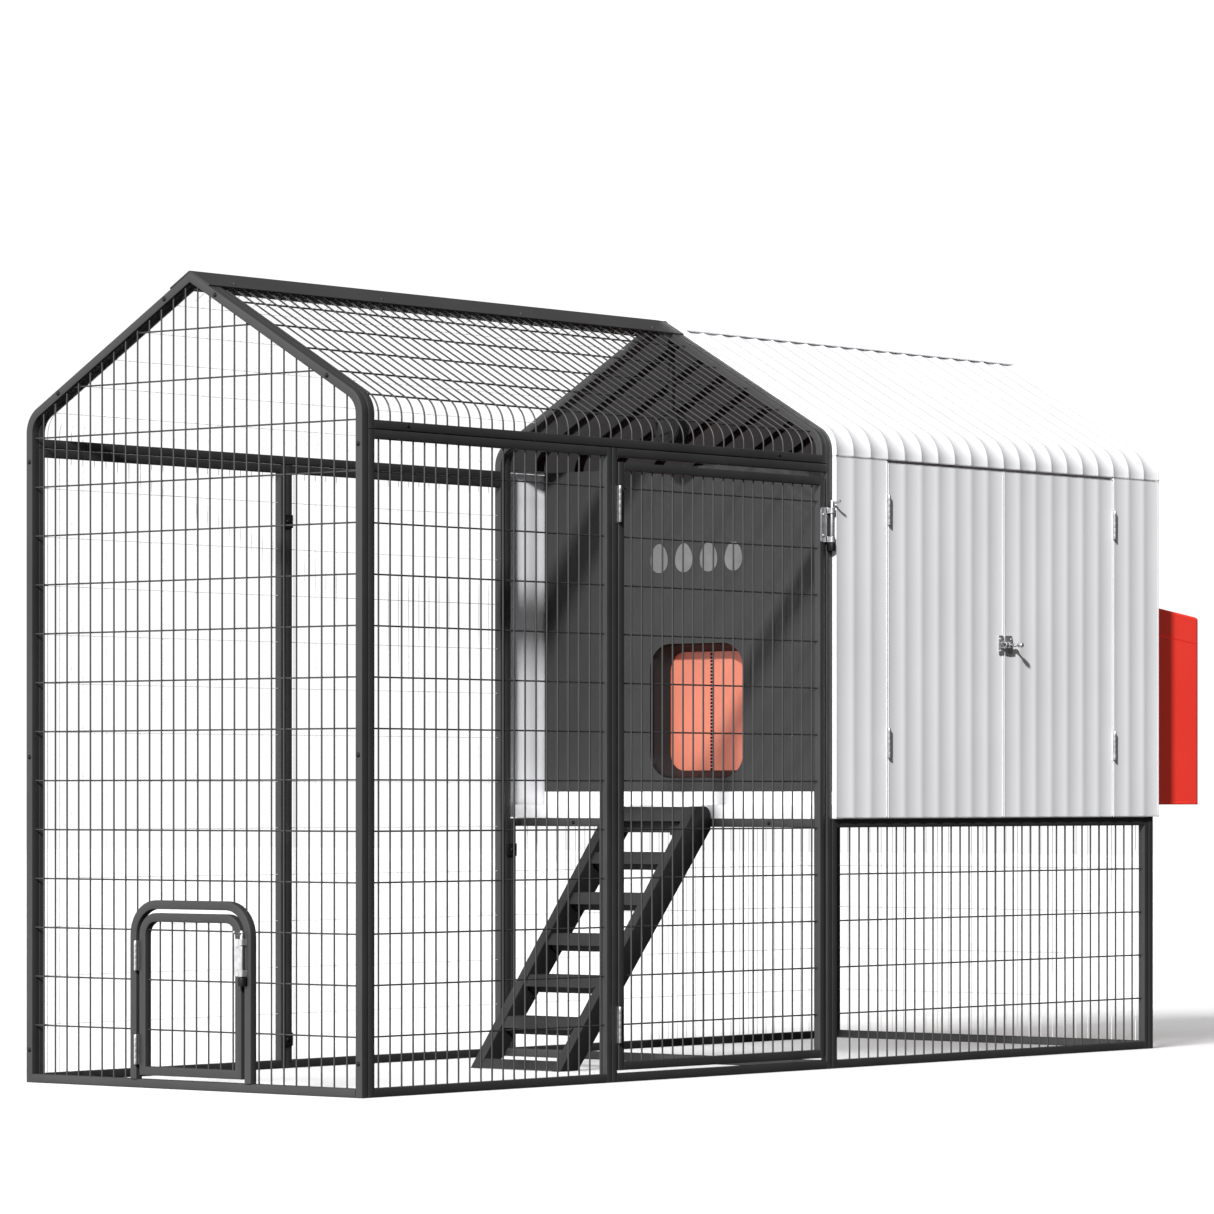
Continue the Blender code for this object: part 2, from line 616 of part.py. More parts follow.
def house_floor():
    """A tray floor with a raised strip that carries the inner wall."""
    floor = box("house_floor", (FLOOR_START, FRONT + GAP, UNDER_TOP + GAP), (END_FACE, BACK - GAP, FLOOR_TOP),
                "white_shell")
    strip = box("floor_strip", (INNER_WALL, FRONT + GAP, FLOOR_TOP - 0.002),
                (INNER_WALL + WALL_T, BACK - GAP, 0.673), "white_shell")
    join(floor, strip)
    for y in (FRONT, BACK - TUBE):
        # the last hoop's posts pass through the floor's corners
        cut(floor, box("post_notch", (END_FACE - TUBE - GAP, y - GAP, 0), (END_FACE + 1, y + TUBE + GAP, 1),
                       "white_shell"))


def inner_wall():
    """The dark wall with its rounded pop opening, a tapered reveal behind it, and two door guides."""
    low = 0.673 + GAP
    wall = box("inner_wall", (INNER_WALL, FRONT + GAP, low), (INNER_WALL + WALL_T, BACK - GAP, 1.492),
               "inner_shell")
    y0, y1 = POP_Y - POP_WIDTH / 2, POP_Y + POP_WIDTH / 2
    sleeve_t = 0.008
    end = POP_REVEAL - 0.003

    def way(depth, out=0.0):
        inset = POP_TAPER * depth / end - out
        return rounded(y0 + inset, POP_LOW + inset, y1 - inset, POP_HIGH - inset, (POP_R - inset,) * 4)

    start = WALL_T / 2
    join(wall, funnel("pop_sleeve", way(start, sleeve_t), way(end, sleeve_t), INNER_WALL + start,
                      INNER_WALL + end, "inner_shell"))
    for y in (y0 - 0.018, y1 + 0.014):
        join(wall, box("pop_guide", (INNER_WALL + WALL_T / 2, y, low + 0.004),
                       (INNER_WALL + POP_REVEAL + 0.016, y + 0.004, 1.470), "inner_shell"))
    past = 0.010
    cut(wall, funnel("pop_way", way(-past), way(end + past), INNER_WALL - past, INNER_WALL + end + past,
                     "inner_shell"))


def rack_outline(back, low, teeth):
    """Teeth along +X on a strip that stands behind the pop door."""
    root, tip = back + 0.004, back + 0.0086
    base, crest = 0.0024, 0.0009
    outline = [(back - 0.001, low)]
    for i in range(teeth):
        z = low + RACK_PITCH * (i + 0.5)
        outline += [(root, z - base), (tip, z - crest), (tip, z + crest), (root, z + base)]
    return [*outline, (back - 0.001, low + RACK_PITCH * teeth)]


def pop_drive():
    """The sliding pop door with its rack, the pinion that lifts it, and the motor."""
    face = INNER_WALL + POP_REVEAL + 0.001
    back = face + 0.005
    half = POP_WIDTH / 2 + 0.013
    teeth = 46
    low = 0.690
    door = box("pop_door", (face, POP_Y - half, low), (back, POP_Y + half, low + RACK_PITCH * teeth),
               "pop_plastic")
    rack_y = 0.024
    join(door, prism("pop_rack", rack_outline(back, low, teeth), "Y", rack_y - 0.009, rack_y + 0.009,
                     "pop_plastic"))
    pitch_r = PINION_TEETH * RACK_PITCH / (2 * math.pi)
    centre = (back + 0.0063 + pitch_r, low + RACK_PITCH * (teeth - 2))
    outline = []
    for i in range(PINION_TEETH):
        middle = 360 / PINION_TEETH * i
        for radius, turn in ((pitch_r - 0.0028, -7.0), (pitch_r + 0.0018, -2.4), (pitch_r + 0.0018, 2.4),
                             (pitch_r - 0.0028, 7.0)):
            outline += arc(centre, radius, middle + turn, middle + turn, 1)[:1]
    axis = (centre[0], rack_y, centre[1])
    pinion = prism("drive_pinion", outline, "Y", rack_y - 0.008, rack_y + 0.008, "black_plastic",
                   origin=axis)
    shaft = prism("drive_shaft", arc(centre, 0.004, 0, 330, 11), "Y", rack_y, rack_y + 0.019,
                  "black_plastic", origin=axis)
    join(pinion, shaft)
    leg = POP_Y + half + 0.012
    side = rack_y + 0.0195
    x0, x1 = back + 0.014, centre[0] + 0.024
    motor = [(x0, side), (x1, side), (x1, leg + 0.020), (INNER_WALL + WALL_T + GAP, leg + 0.020),
             (INNER_WALL + WALL_T + GAP, leg), (x0, leg)]
    prism("drive_motor", motor, "Z", centre[1] - 0.026, centre[1] + 0.032, "black_plastic")


def camera_pod():
    """A round pod that hangs from the ridge, in front of the dark wall."""
    x, z = RUN_END + 1.717, 1.579
    pod = prism("camera_pod", arc((0.0, z), 0.042, 0, 345, 23), "X", x - 0.024, x + 0.024, "black_plastic",
                smooth=40)
    stem = prism("camera_stem", arc((x, 0.0), 0.009, 0, 330, 11), "Z", z + 0.030,
                 APEX - 0.009 * math.tan(PITCH) - 0.001, "black_plastic")
    join(pod, stem)


def roost():
    """Two perches on a low stand."""
    x0, x1 = RUN_END + 2.300, RUN_END + 2.800
    top = 0.860
    stand = box("roost", (x0 - 0.020, -0.460, top - 0.035), (x0 + 0.020, 0.460, top), "timber")
    join(stand, box("roost_perch", (x1 - 0.020, -0.460, top - 0.035), (x1 + 0.020, 0.460, top), "timber"))
    for y in (-0.36, 0.34):
        join(stand, box("roost_rail", (x0 - 0.010, y, top - 0.060), (x1 + 0.010, y + 0.020, top - 0.030),
                        "timber"))
        for x in (x0, x1):
            join(stand, box("roost_leg", (x - 0.012, y - 0.003, FLOOR_TOP + GAP),
                            (x + 0.012, y + 0.023, top - 0.032), "timber"))


def nest_box():
    """An outside nest box of two bays, with a sloping lid hinged at the wall."""
    x0, x1 = HOUSE_END + GAP, HOUSE_END + NEST_DEPTH
    plan = rounded(x0, -NEST_HALF, x1, NEST_HALF, (0, NEST_R, NEST_R, 0), 5)
    slope = math.tan(NEST_SLOPE)

    def above(drop, name):
        """Everything above the plane that lies this far below the lid's top."""
        z0 = NEST_TOP - drop
        outline = [(x0 - 0.1, z0 + 0.1 * slope), (x1 + 0.1, z0 - (x1 + 0.1 - x0) * slope), (x1 + 0.1, 2),
                   (x0 - 0.1, 2)]
        return prism(name, outline, "Y", -1, 1, "red_plastic")

    shell = prism("nest_box_shell", plan, "Z", NEST_FLOOR, NEST_TOP, "red_plastic", smooth=40)
    cut(shell, above(NEST_SKIRT + GAP, "nest_rim"))
    half_wall = NEST_T / 2
    for side in (-1, 1):
        y0, y1 = sorted((side * half_wall, side * (NEST_HALF - NEST_T)))
        corner = NEST_R - NEST_T
        radii = (0, corner, 0, 0) if side < 0 else (0, 0, corner, 0)
        bay = prism("nest_bay", rounded(x0 - 0.1, y0, x1 - NEST_T, y1, radii, 5), "Z",
                    NEST_FLOOR + NEST_T, 2, "red_plastic")
        cut(shell, bay)
    axis = (x0 + 0.0005, 0, NEST_TOP)
    lid_plan = rounded(x0 + 0.0005, -NEST_HALF, x1, NEST_HALF, (0, NEST_R, NEST_R, 0), 5)
    lid = prism("nest_box_lid", lid_plan, "Z", NEST_TOP - 0.2, NEST_TOP + 0.1, "red_plastic", origin=axis,
                smooth=40)
    cut(lid, above(0, "lid_top"))
    z0 = NEST_TOP - NEST_SKIRT
    below = [(x0 - 0.1, z0 + 0.1 * slope), (x1 + 0.1, z0 - (x1 + 0.1 - x0) * slope), (x1 + 0.1, 0),
             (x0 - 0.1, 0)]
    cut(lid, prism("lid_rim", below, "Y", -1, 1, "red_plastic"))
    hollow = prism("lid_hollow", rounded(x0 + NEST_T, -NEST_HALF + NEST_T, x1 - NEST_T,
                                         NEST_HALF - NEST_T, (0, NEST_R - NEST_T, NEST_R - NEST_T, 0), 5),
                   "Z", 0, 2, "red_plastic")
    cut(hollow, above(NEST_T, "lid_under"))
    cut(lid, hollow)


def ladder():
    """A moulded ladder: two side rails, treads, a foot bar and a top bar that rests by the floor."""
    lean = math.tan(LADDER_SLOPE)
    drop = GAP
    back_foot = LADDER_FOOT + LADDER_BACK
    shoulder = LADDER_FOOT + (LADDER_TOP - 0.024) / lean
    corner = 0.024
    axis = (LADDER_END - corner, POP_Y, LADDER_TOP - corner)
    rail = [(LADDER_FOOT, drop), (back_foot - 0.008, drop), (back_foot, drop + 0.008),
            (LADDER_END, (LADDER_END - back_foot) * lean * 0.965),
            *arc((LADDER_END - corner, LADDER_TOP - corner), corner, 0, 90, 3),
            (shoulder + 0.010, LADDER_TOP), (shoulder, LADDER_TOP - 0.010)]
    y0, y1 = POP_Y - LADDER_HALF, POP_Y + LADDER_HALF
    ramp = prism("ramp_ladder", rail, "Y", y0, y0 + LADDER_RAIL, "ladder_plastic", origin=axis)
    join(ramp, prism("ramp_rail", rail, "Y", y1 - LADDER_RAIL, y1, "ladder_plastic", origin=axis))
    bite = 0.004

    def tread(top, depth, height, rear_drop, name):
        """A bar between the rails whose front lies just inside the rails' front."""
        x = LADDER_FOOT + top / lean + 0.002
        outline = [(x, top), (x - height / lean, top - height), (x - height / lean + depth * 0.55, top - height),
                   (x + depth * 0.45, top - rear_drop), (x + depth, top - rear_drop), (x + depth, top)]
        return prism(name, outline, "Y", y0 + LADDER_RAIL - bite, y1 - LADDER_RAIL + bite, "ladder_plastic",
                     origin=axis)

    for i in range(TREADS):
        join(ramp, tread(TREAD_FIRST + TREAD_STEP * i, 0.060, 0.031, 0.046, "ramp_tread"))
    foot_bar = [(LADDER_FOOT + 0.002, drop + 0.001), (LADDER_FOOT + 0.070, drop + 0.001),
                (LADDER_FOOT + 0.070, 0.012), (LADDER_FOOT + 0.002 + 0.024 / lean, 0.024)]
    join(ramp, prism("ramp_foot", foot_bar, "Y", y0 + LADDER_RAIL - bite, y1 - LADDER_RAIL + bite,
                     "ladder_plastic", origin=axis))
    head = [(shoulder - 0.020, LADDER_TOP - 0.047), (LADDER_END - 0.004, LADDER_TOP - 0.047),
            (LADDER_END - 0.004, LADDER_TOP - 0.010), (LADDER_END - 0.014, LADDER_TOP - 0.001),
            (shoulder + 0.012, LADDER_TOP - 0.001), (shoulder + 0.002, LADDER_TOP - 0.011)]
    join(ramp, prism("ramp_head", head, "Y", y0 + LADDER_RAIL - bite, y1 - LADDER_RAIL + bite,
                     "ladder_plastic", origin=axis))


# ---- Assembly --------------------------------------------------------------------------------------
long_panel("front_panel", PANEL_START, PANEL_JOINT - GAP, FRONT, 1, LEFT_WIRES)
long_panel("back_panel_left", PANEL_START, PANEL_JOINT - GAP, BACK, -1, LEFT_WIRES)
long_panel("back_panel_right", PANEL_JOINT, MID_HOOP - GAP, BACK, -1, DOOR_WIRES)
run_door_surround()
run_door()
latch("run_door", (DOOR_RIGHT - 0.019, FRONT, 1.319), 0.0, 0.033)
gate_edge = run_end()
latch("gate", (RUN_END - 0.004, gate_edge + 0.020, 0.301), -math.pi / 2, 0.031)
run_roof()
house_hoop("middle_hoop", MID_HOOP, MID_HOOP + TUBE, False)
house_hoop("end_hoop", END_FACE - TUBE, END_FACE, True)
under_house()
house_floor()
house_walls()
inner_wall()
pop_drive()
camera_pod()
roost()
nest_box()
ladder()
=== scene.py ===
"""The chicken coop's looks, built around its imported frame.

Metres, +Z up. X runs from the run's gable end to the nest box, Y from front to back. Places come from the
boxes of the frame's nodes and from the sizes of the real tubes, wires and sheets.
"""

import math

import bmesh
import bpy
from mathutils import Matrix, Vector


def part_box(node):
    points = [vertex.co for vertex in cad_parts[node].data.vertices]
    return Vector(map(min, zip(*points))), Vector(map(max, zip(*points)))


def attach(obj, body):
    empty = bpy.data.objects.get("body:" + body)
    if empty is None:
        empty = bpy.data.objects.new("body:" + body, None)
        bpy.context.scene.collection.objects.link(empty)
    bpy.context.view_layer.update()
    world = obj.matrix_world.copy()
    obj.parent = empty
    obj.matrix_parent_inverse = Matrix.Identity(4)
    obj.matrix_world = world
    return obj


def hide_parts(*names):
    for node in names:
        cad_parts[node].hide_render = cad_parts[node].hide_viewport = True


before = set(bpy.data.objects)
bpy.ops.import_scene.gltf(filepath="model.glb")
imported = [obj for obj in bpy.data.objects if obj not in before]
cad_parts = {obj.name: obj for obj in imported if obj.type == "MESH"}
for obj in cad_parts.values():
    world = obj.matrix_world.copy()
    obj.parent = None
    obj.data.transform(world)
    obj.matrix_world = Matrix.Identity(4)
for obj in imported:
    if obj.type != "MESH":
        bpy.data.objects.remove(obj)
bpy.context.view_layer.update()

# ---- Driving dimensions ----------------------------------------------------------------------------
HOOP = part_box("run_end_hoop")
RUN_END, HOOP_BACK = HOOP[0].x, HOOP[1].x
HOUSE_START, END_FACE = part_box("middle_hoop")[1].x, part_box("end_hoop")[1].x
HALF, APEX = HOOP[1].y, HOOP[1].z
FRONT, BACK = -HALF, HALF
PITCH = math.radians(30)
EAVE_R = 0.066
TUBE = 0.020
TUBE_R = 0.0024                   # rounded edge of a tube
BEND_START = APEX - HALF * math.tan(PITCH) - EAVE_R * math.tan(PITCH)
BEND_LENGTH = EAVE_R * math.radians(60)
SLOPE_LENGTH = HALF / math.cos(PITCH) - EAVE_R * math.tan(PITCH)
RIDGE_S = BEND_LENGTH + SLOPE_LENGTH
BEND_STEPS = 12

WIRE_R = 0.0021
PALE_WIRE_R = 0.0007
WIRE_PITCH = 0.038
WIRE_STEP = 0.113
WIRE_FIRST = 0.1324
WIRE_DEPTH = 0.0075               # centre of the uprights behind the frame's face
BITE = 0.0012                     # a wire's end inside its tube

CLAD = 0.012                      # cladding stands this proud of the frame
FLUTE = 0.0695
SCOOP = 0.0024                    # depth of one scooped rib
ROOF_SCOOP = 0.0048
SCOOP_STEPS = 8
SHEET = 0.0024
LIP = 0.0032                      # flat lip along an edge of the cladding
ROOF_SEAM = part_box("house_roof_front")[0].z

POP_Y = sum(c.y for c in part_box("pop_door")) / 2
POP_WIDTH, POP_LOW, POP_HIGH, POP_R = 0.301, 0.707, 1.046, 0.065
POP_TAPER, POP_DEPTH = 0.020, 0.059
DRIVE_Y = 0.024
RACK_PITCH, RACK_TEETH = 0.0088, 12           # one tooth of the rack; teeth round the pinion
HINGE_SHIFT = {"house": 0.0006, "run": 0.0013, "gate": 0.0012}    # a leaf's offset from its barrel's axis

NOISE_RANGE = (0.3, 0.7)          # where most of a noise texture's values lie


# ---- Materials -------------------------------------------------------------------------------------
def noise(tree, scale, detail=2.0, stretch=(1, 1, 1)):
    """Noise in the part's own coordinates, scale in cells per metre."""
    where = tree.nodes.new("ShaderNodeTexCoord")
    mapping = tree.nodes.new("ShaderNodeMapping")
    mapping.inputs["Scale"].default_value = stretch
    texture = tree.nodes.new("ShaderNodeTexNoise")
    texture.inputs["Scale"].default_value = scale
    texture.inputs["Detail"].default_value = detail
    tree.links.new(where.outputs["Object"], mapping.inputs["Vector"])
    tree.links.new(mapping.outputs["Vector"], texture.inputs["Vector"])
    return texture.outputs["Fac"]


def map_range(tree, value, source, target):
    """A value mapped from one range onto another."""
    node = tree.nodes.new("ShaderNodeMapRange")
    for name, number in zip(("From Min", "From Max", "To Min", "To Max"), (*source, *target)):
        node.inputs[name].default_value = number
    tree.links.new(value, node.inputs["Value"])
    return node.outputs["Result"]


def surface(name, shades, roughness, metallic=0.0, specular=0.5, patch=4.0, grain=(700, 0.00006),
            stretch=(1, 1, 1), detail=3.0, painted_glow=None):
    """Two shades in soft patches, uneven roughness and a fine grain; a painted glow adds painted light, an
    even emission though the part is no lamp.
    """
    made = bpy.data.materials.new(name)
    made.use_nodes = True
    tree = made.node_tree
    shader = tree.nodes["Principled BSDF"]
    shader.inputs["Metallic"].default_value = metallic
    shader.inputs["Specular IOR Level"].default_value = specular
    # painted light: an emission that brightens the part in sun and in shade alike
    if painted_glow:
        shader.inputs["Emission Color"].default_value = (*painted_glow, 1)
        shader.inputs["Emission Strength"].default_value = 1.0
    ramp = tree.nodes.new("ShaderNodeValToRGB")
    ramp.color_ramp.elements[0].position = 0.34
    ramp.color_ramp.elements[1].position = 0.66
    for element, shade in zip(ramp.color_ramp.elements, shades):
        element.color = (*shade, 1)
    tree.links.new(noise(tree, patch, detail, stretch), ramp.inputs["Fac"])
    tree.links.new(ramp.outputs["Color"], shader.inputs["Base Color"])
    rough = map_range(tree, noise(tree, patch * 6, 2.0, stretch), NOISE_RANGE, roughness)
    tree.links.new(rough, shader.inputs["Roughness"])
    bump = tree.nodes.new("ShaderNodeBump")
    bump.inputs["Strength"].default_value = 0.6
    bump.inputs["Distance"].default_value = grain[1]
    tree.links.new(noise(tree, grain[0], 2.0, stretch), bump.inputs["Height"])
    tree.links.new(bump.outputs["Normal"], shader.inputs["Normal"])
    return made


def grey(value):
    return (value, value, value * 1.02)


def timber(name, stretch):
    """Bare softwood with its grain along the axis that the stretch leaves long."""
    return surface(name, ((0.38, 0.22, 0.10), (0.62, 0.42, 0.23)), (0.60, 0.80), patch=9.0,
                   grain=(60, 0.0003), stretch=stretch, detail=5.0)


LOOKS = {
    "frame_paint": surface("powder_coat", (grey(0.024), grey(0.030)), (0.44, 0.58), specular=0.45,
                           grain=(850, 0.00010)),
    "wire_paint": surface("wire_coat", (grey(0.026), grey(0.036)), (0.40, 0.55), specular=0.50,
                          grain=(900, 0.00006)),
    "white_shell": surface("white_moulding", (grey(0.78), grey(0.82)), (0.42, 0.58), specular=0.35,
                           patch=2.5, grain=(500, 0.00005)),
    "inner_shell": surface("grey_moulding", (grey(0.026), grey(0.031)), (0.50, 0.66), specular=0.30,
                           patch=3.0, grain=(420, 0.00012)),
    "ladder_plastic": surface("ladder_moulding", (grey(0.015), grey(0.021)), (0.50, 0.68), specular=0.32,
                              patch=7.0, grain=(380, 0.00020)),
    # the red moulding's glow is painted light that brightens its shaded and lit sides alike
    "red_plastic": surface("red_moulding", ((0.95, 0.046, 0.030), (0.98, 0.054, 0.036)), (0.36, 0.50),
                           specular=0.45, patch=3.0, grain=(450, 0.00008), painted_glow=(0.09, 0.004, 0.002)),
    # the coral moulding's red glow is painted light, reddening the strip shaded by the opening's top
    "pop_plastic": surface("coral_moulding", ((0.47, 0.148, 0.096), (0.51, 0.168, 0.107)), (0.40, 0.55),
                           patch=5.0, grain=(450, 0.00008), painted_glow=(0.07, 0.001, 0.0)),
    "zinc": surface("bright_zinc", (grey(0.50), grey(0.68)), (0.28, 0.44), metallic=0.85, patch=60.0,
                    grain=(700, 0.00003)),
    "black_plastic": surface("black_moulding", (grey(0.006), grey(0.010)), (0.45, 0.60), specular=0.20,
                             patch=12.0, grain=(600, 0.00008)),
    "timber": timber("timber_along_y", (12, 1, 12)),
}
MOTIF = surface("motif_grey", (grey(0.115), grey(0.145)), (0.50, 0.62), patch=20.0, grain=(500, 0.00005))
PALE_WIRE = surface("galvanised_wire", (grey(0.84), grey(0.92)), (0.45, 0.60), patch=30.0,
                    grain=(900, 0.00004))
# each lining's glow is painted light: strong on the front slope's underside, weak on the back's
PAINTED_LIGHT_LININGS = {name: surface("roof_lining_" + name, (grey(0.09), grey(0.13)), (0.55, 0.70), specular=0.3,
                         patch=3.0, painted_glow=grey(light)) for name, light in (("front", 0.120), ("back", 0.030))}
# a darker grey than the wall's moulding: painted shade for the recessed reveal
SLEEVE_PAINTED_SHADE = surface("sleeve_painted_shade", (grey(0.012), grey(0.016)), (0.55, 0.70), specular=0.25, patch=6.0)
# near-black painted shade, filling gaps and slots where shade lies
PAINTED_SHADE = surface("painted_shade_black", (grey(0.002), grey(0.004)), (0.70, 0.80), specular=0.05, patch=20.0)
LENS = surface("lens_gloss", (grey(0.003), grey(0.005)), (0.08, 0.14), specular=0.25, patch=20.0,
               grain=(300, 0.000005))
TIMBER_X = timber("timber_along_x", (1, 12, 12))
TIMBER_Z = timber("timber_along_z", (12, 12, 1))


# ---- Mesh tools ------------------------------------------------------------------------------------
def as_mesh(name, bm):
    """Mesh data from a bmesh, which is used up."""
    mesh = bpy.data.meshes.new(name)
    bm.to_mesh(mesh)
    bm.free()
    return mesh


def placed(name, data):
    """A new object in the scene."""
    made = bpy.data.objects.new(name, data)
    bpy.context.scene.collection.objects.link(made)
    return made


def piece(name, bm, slot, body="coop", replaces=(), smooth=32, look=None):
    """A finished piece from a bmesh: shaded, given its material, and set on its body."""
    bmesh.ops.recalc_face_normals(bm, faces=bm.faces)
    mesh = as_mesh(name, bm)
    mesh.shade_smooth()
    mesh.set_sharp_from_angle(angle=math.radians(smooth))
    mesh.materials.append(look or LOOKS[slot])
    made = placed(name, mesh)
    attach(made, body)
    if replaces:
        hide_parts(*replaces)
    return made


PLANES = {
    "X": lambda u, v, w: Vector((w, u, v)),
    "Y": lambda u, v, w: Vector((u, w, v)),
    "Z": lambda u, v, w: Vector((u, v, w)),
}


def arc(centre, radius, start, end, steps):
    """Points along an arc, angles in degrees."""
    turns = [math.radians(start + (end - start) * i / steps) for i in range(steps + 1)]
    return [(centre[0] + radius * math.cos(t), centre[1] + radius * math.sin(t)) for t in turns]


def rectangle(u0, v0, u1, v1):
    return [(u0, v0), (u1, v0), (u1, v1), (u0, v1)]


def rounded(u0, v0, u1, v1, radii, steps=10):
    """A rectangle with a radius at each corner: low left, low right, high right, high left."""
    corners = [(u0, v0, 1, 1, 180), (u1, v0, -1, 1, 270), (u1, v1, -1, -1, 0), (u0, v1, 1, -1, 90)]
    outline = []
    for (u, v, du, dv, start), radius in zip(corners, radii):
        if radius:
            outline += arc((u + du * radius, v + dv * radius), radius, start, start + 90, steps)
        else:
            outline.append((u, v))
    return outline


def loft(bm, rings, closed=False):
    """Rings of points joined into a skin, capped at both ends unless it closes on itself."""
    made = [[bm.verts.new(p) for p in ring] for ring in rings]
    count = len(made[0])
    pairs = list(zip(made, made[1:])) + ([(made[-1], made[0])] if closed else [])
    for one, two in pairs:
        for i in range(count):
            j = (i + 1) % count
            bm.faces.new([one[i], one[j], two[j], two[i]])
    if not closed:
        bm.faces.new(list(reversed(made[0])))
        bm.faces.new(made[-1])
    return made


def sweep(bm, path, outline, side, closed=False):
    """An outline carried along a flat path, mitred at its corners; side is square to the path's plane."""
    path = [Vector(p) for p in path]
    side = Vector(side)
    count = len(path)
    rings = []
    for i, point in enumerate(path):
        before = path[i - 1] if (i or closed) else None
        after = path[(i + 1) % count] if (i < count - 1 or closed) else None
        into = (point - before).normalized() if before is not None else (after - point).normalized()
        out = (after - point).normalized() if after is not None else into
        along = (into + out).normalized()
        across = side.cross(along)
        stretch = 1 / max(0.4, along.dot(into))
        rings.append([point + across * u * stretch + side * v for u, v in outline])
    loft(bm, rings, closed)


def box_section(width, height, radius=TUBE_R, steps=2):
    return rounded(-width / 2, -height / 2, width / 2, height / 2, (radius,) * 4, steps)


SQUARE = box_section(TUBE, TUBE)


def bar(bm, start, end, side, section=SQUARE):
    sweep(bm, [start, end], section, side)


def add(bm, other, matrix=None):
    """Copy another bmesh into this one, moved by a matrix."""
    held = as_mesh("held", other)
    if matrix:
        held.transform(matrix)
    bm.from_mesh(held)
    bpy.data.meshes.remove(held)


def prism(outline, axis, low, high, bevel=0.0, segments=2):
    """An outline drawn across an axis and extruded along it, with rounded edges."""
    place = PLANES[axis]
    bm = bmesh.new()
    loft(bm, [[place(u, v, w) for u, v in outline] for w in (low, high)])
    bmesh.ops.recalc_face_normals(bm, faces=bm.faces)
    if bevel:
        sharp = [e for e in bm.edges if e.calc_face_angle(0) > math.radians(28)]
        bmesh.ops.bevel(bm, geom=sharp, offset=bevel, segments=segments, profile=0.5, affect="EDGES",
                        clamp_overlap=True)
    return bm


def block(low, high, bevel=0.001, segments=2):
    return prism(rectangle(low[0], low[1], high[0], high[1]), "Z", low[2], high[2], bevel, segments)


def lathe(bm, profile, centre, axis, steps=20):
    """A (radius, height) profile turned round an axis through a centre."""
    axis = Vector(axis).normalized()
    first = axis.orthogonal().normalized()
    second = axis.cross(first)
    centre = Vector(centre)
    rings = []
    for radius, height in profile:
        turns = [2 * math.pi * i / steps for i in range(steps)]
        rings.append([centre + axis * height + (first * math.cos(t) + second * math.sin(t)) * radius
                      for t in turns])
    loft(bm, rings)


def dome_bolt(bm, centre, axis, radius=0.0048):
    """A washer under a domed head, standing out along the axis."""
    profile = [(radius * 1.25, -0.0005), (radius * 1.25, 0.0004), (radius * 1.15, 0.0008),
               (radius, 0.0009), (radius * 0.96, 0.0016), (radius * 0.80, 0.0026),
               (radius * 0.52, 0.0033), (radius * 0.20, 0.0036)]
    lathe(bm, profile, centre, axis)


def screw(bm, centre, axis, radius=0.0026):
    """A pan head with a small socket."""
    profile = [(radius, -0.0003), (radius, 0.0006), (radius * 0.85, 0.0013), (radius * 0.45, 0.0015),
               (radius * 0.40, 0.0007)]
    lathe(bm, profile, centre, axis, 14)


def carved(name, bm, cutters, operation="DIFFERENCE"):
    """A bmesh cut by others with an exact Boolean, as a new bmesh."""
    blank = placed(name + "_blank", as_mesh(name + "_blank", bm))
    tools = [placed(name + "_tool", as_mesh(name + "_tool", cutter)) for cutter in cutters]
    for tool in tools:
        step = blank.modifiers.new("carve", "BOOLEAN")
        step.operation = operation
        step.solver = "EXACT"
        step.object = tool
    result = bmesh.new()
    result.from_object(blank, bpy.context.evaluated_depsgraph_get())
    for made in (blank, *tools):
        data = made.data
        bpy.data.objects.remove(made)
        bpy.data.meshes.remove(data)
    return result


# ---- Places on the walls and roof ------------------------------------------------------------------
def wall_place(face, inward):
    return lambda x, z, depth: Vector((x, face + inward * depth, z))


def gable_place(face, inward=1):
    return lambda y, z, depth: Vector((face + inward * depth, y, z))


def roof_place(side):
    """Maps (x, distance up the slope from the bend's start, depth in) to a point."""

    def place(x, s, depth):
        if s <= 0:
            return Vector((x, side * (HALF - depth), BEND_START + s))
        turn = min(s, BEND_LENGTH) / EAVE_R
        y = HALF - EAVE_R + (EAVE_R - depth) * math.cos(turn)
        z = BEND_START + (EAVE_R - depth) * math.sin(turn)
        rest = max(0, s - BEND_LENGTH)
        return Vector((x, side * (y - rest * math.cos(PITCH)), z + rest * math.sin(PITCH)))

    return place


def bend_stations(low, high):
    """Distances from low to high with close steps round the bend."""
    bends = [BEND_LENGTH * i / BEND_STEPS for i in range(BEND_STEPS + 1)]
    return [low, *[s for s in bends if low < s < high], high]


def arch(inset, foot, steps=BEND_STEPS):
    """The hoop's outline across the coop, from one foot round to the other."""
    side = arc((HALF - EAVE_R, BEND_START), EAVE_R - inset, 0, 60, steps)
    right = [(HALF - inset, foot), *side]
    return [*right, (0, APEX - inset / math.cos(PITCH)), *[(-y, z) for y, z in reversed(right)]]


def arch_height(y, inset):
    """Height of the arch at one place across the coop."""
    y = abs(y)
    radius = EAVE_R - inset
    out = y - (HALF - EAVE_R)
    if out > radius * 0.5:
        return BEND_START + math.sqrt(max(0, radius ** 2 - out ** 2))
    return APEX - inset / math.cos(PITCH) - y * math.tan(PITCH)


def arch_reach(z, inset):
    """Half the arch's width at one height."""
    radius = EAVE_R - inset
    if z <= BEND_START:
        return HALF - inset
    up = z - BEND_START
    if up < radius * math.sin(math.radians(60)):
        return HALF - EAVE_R + math.sqrt(radius ** 2 - up ** 2)
    return (APEX - inset / math.cos(PITCH) - z) / math.tan(PITCH)


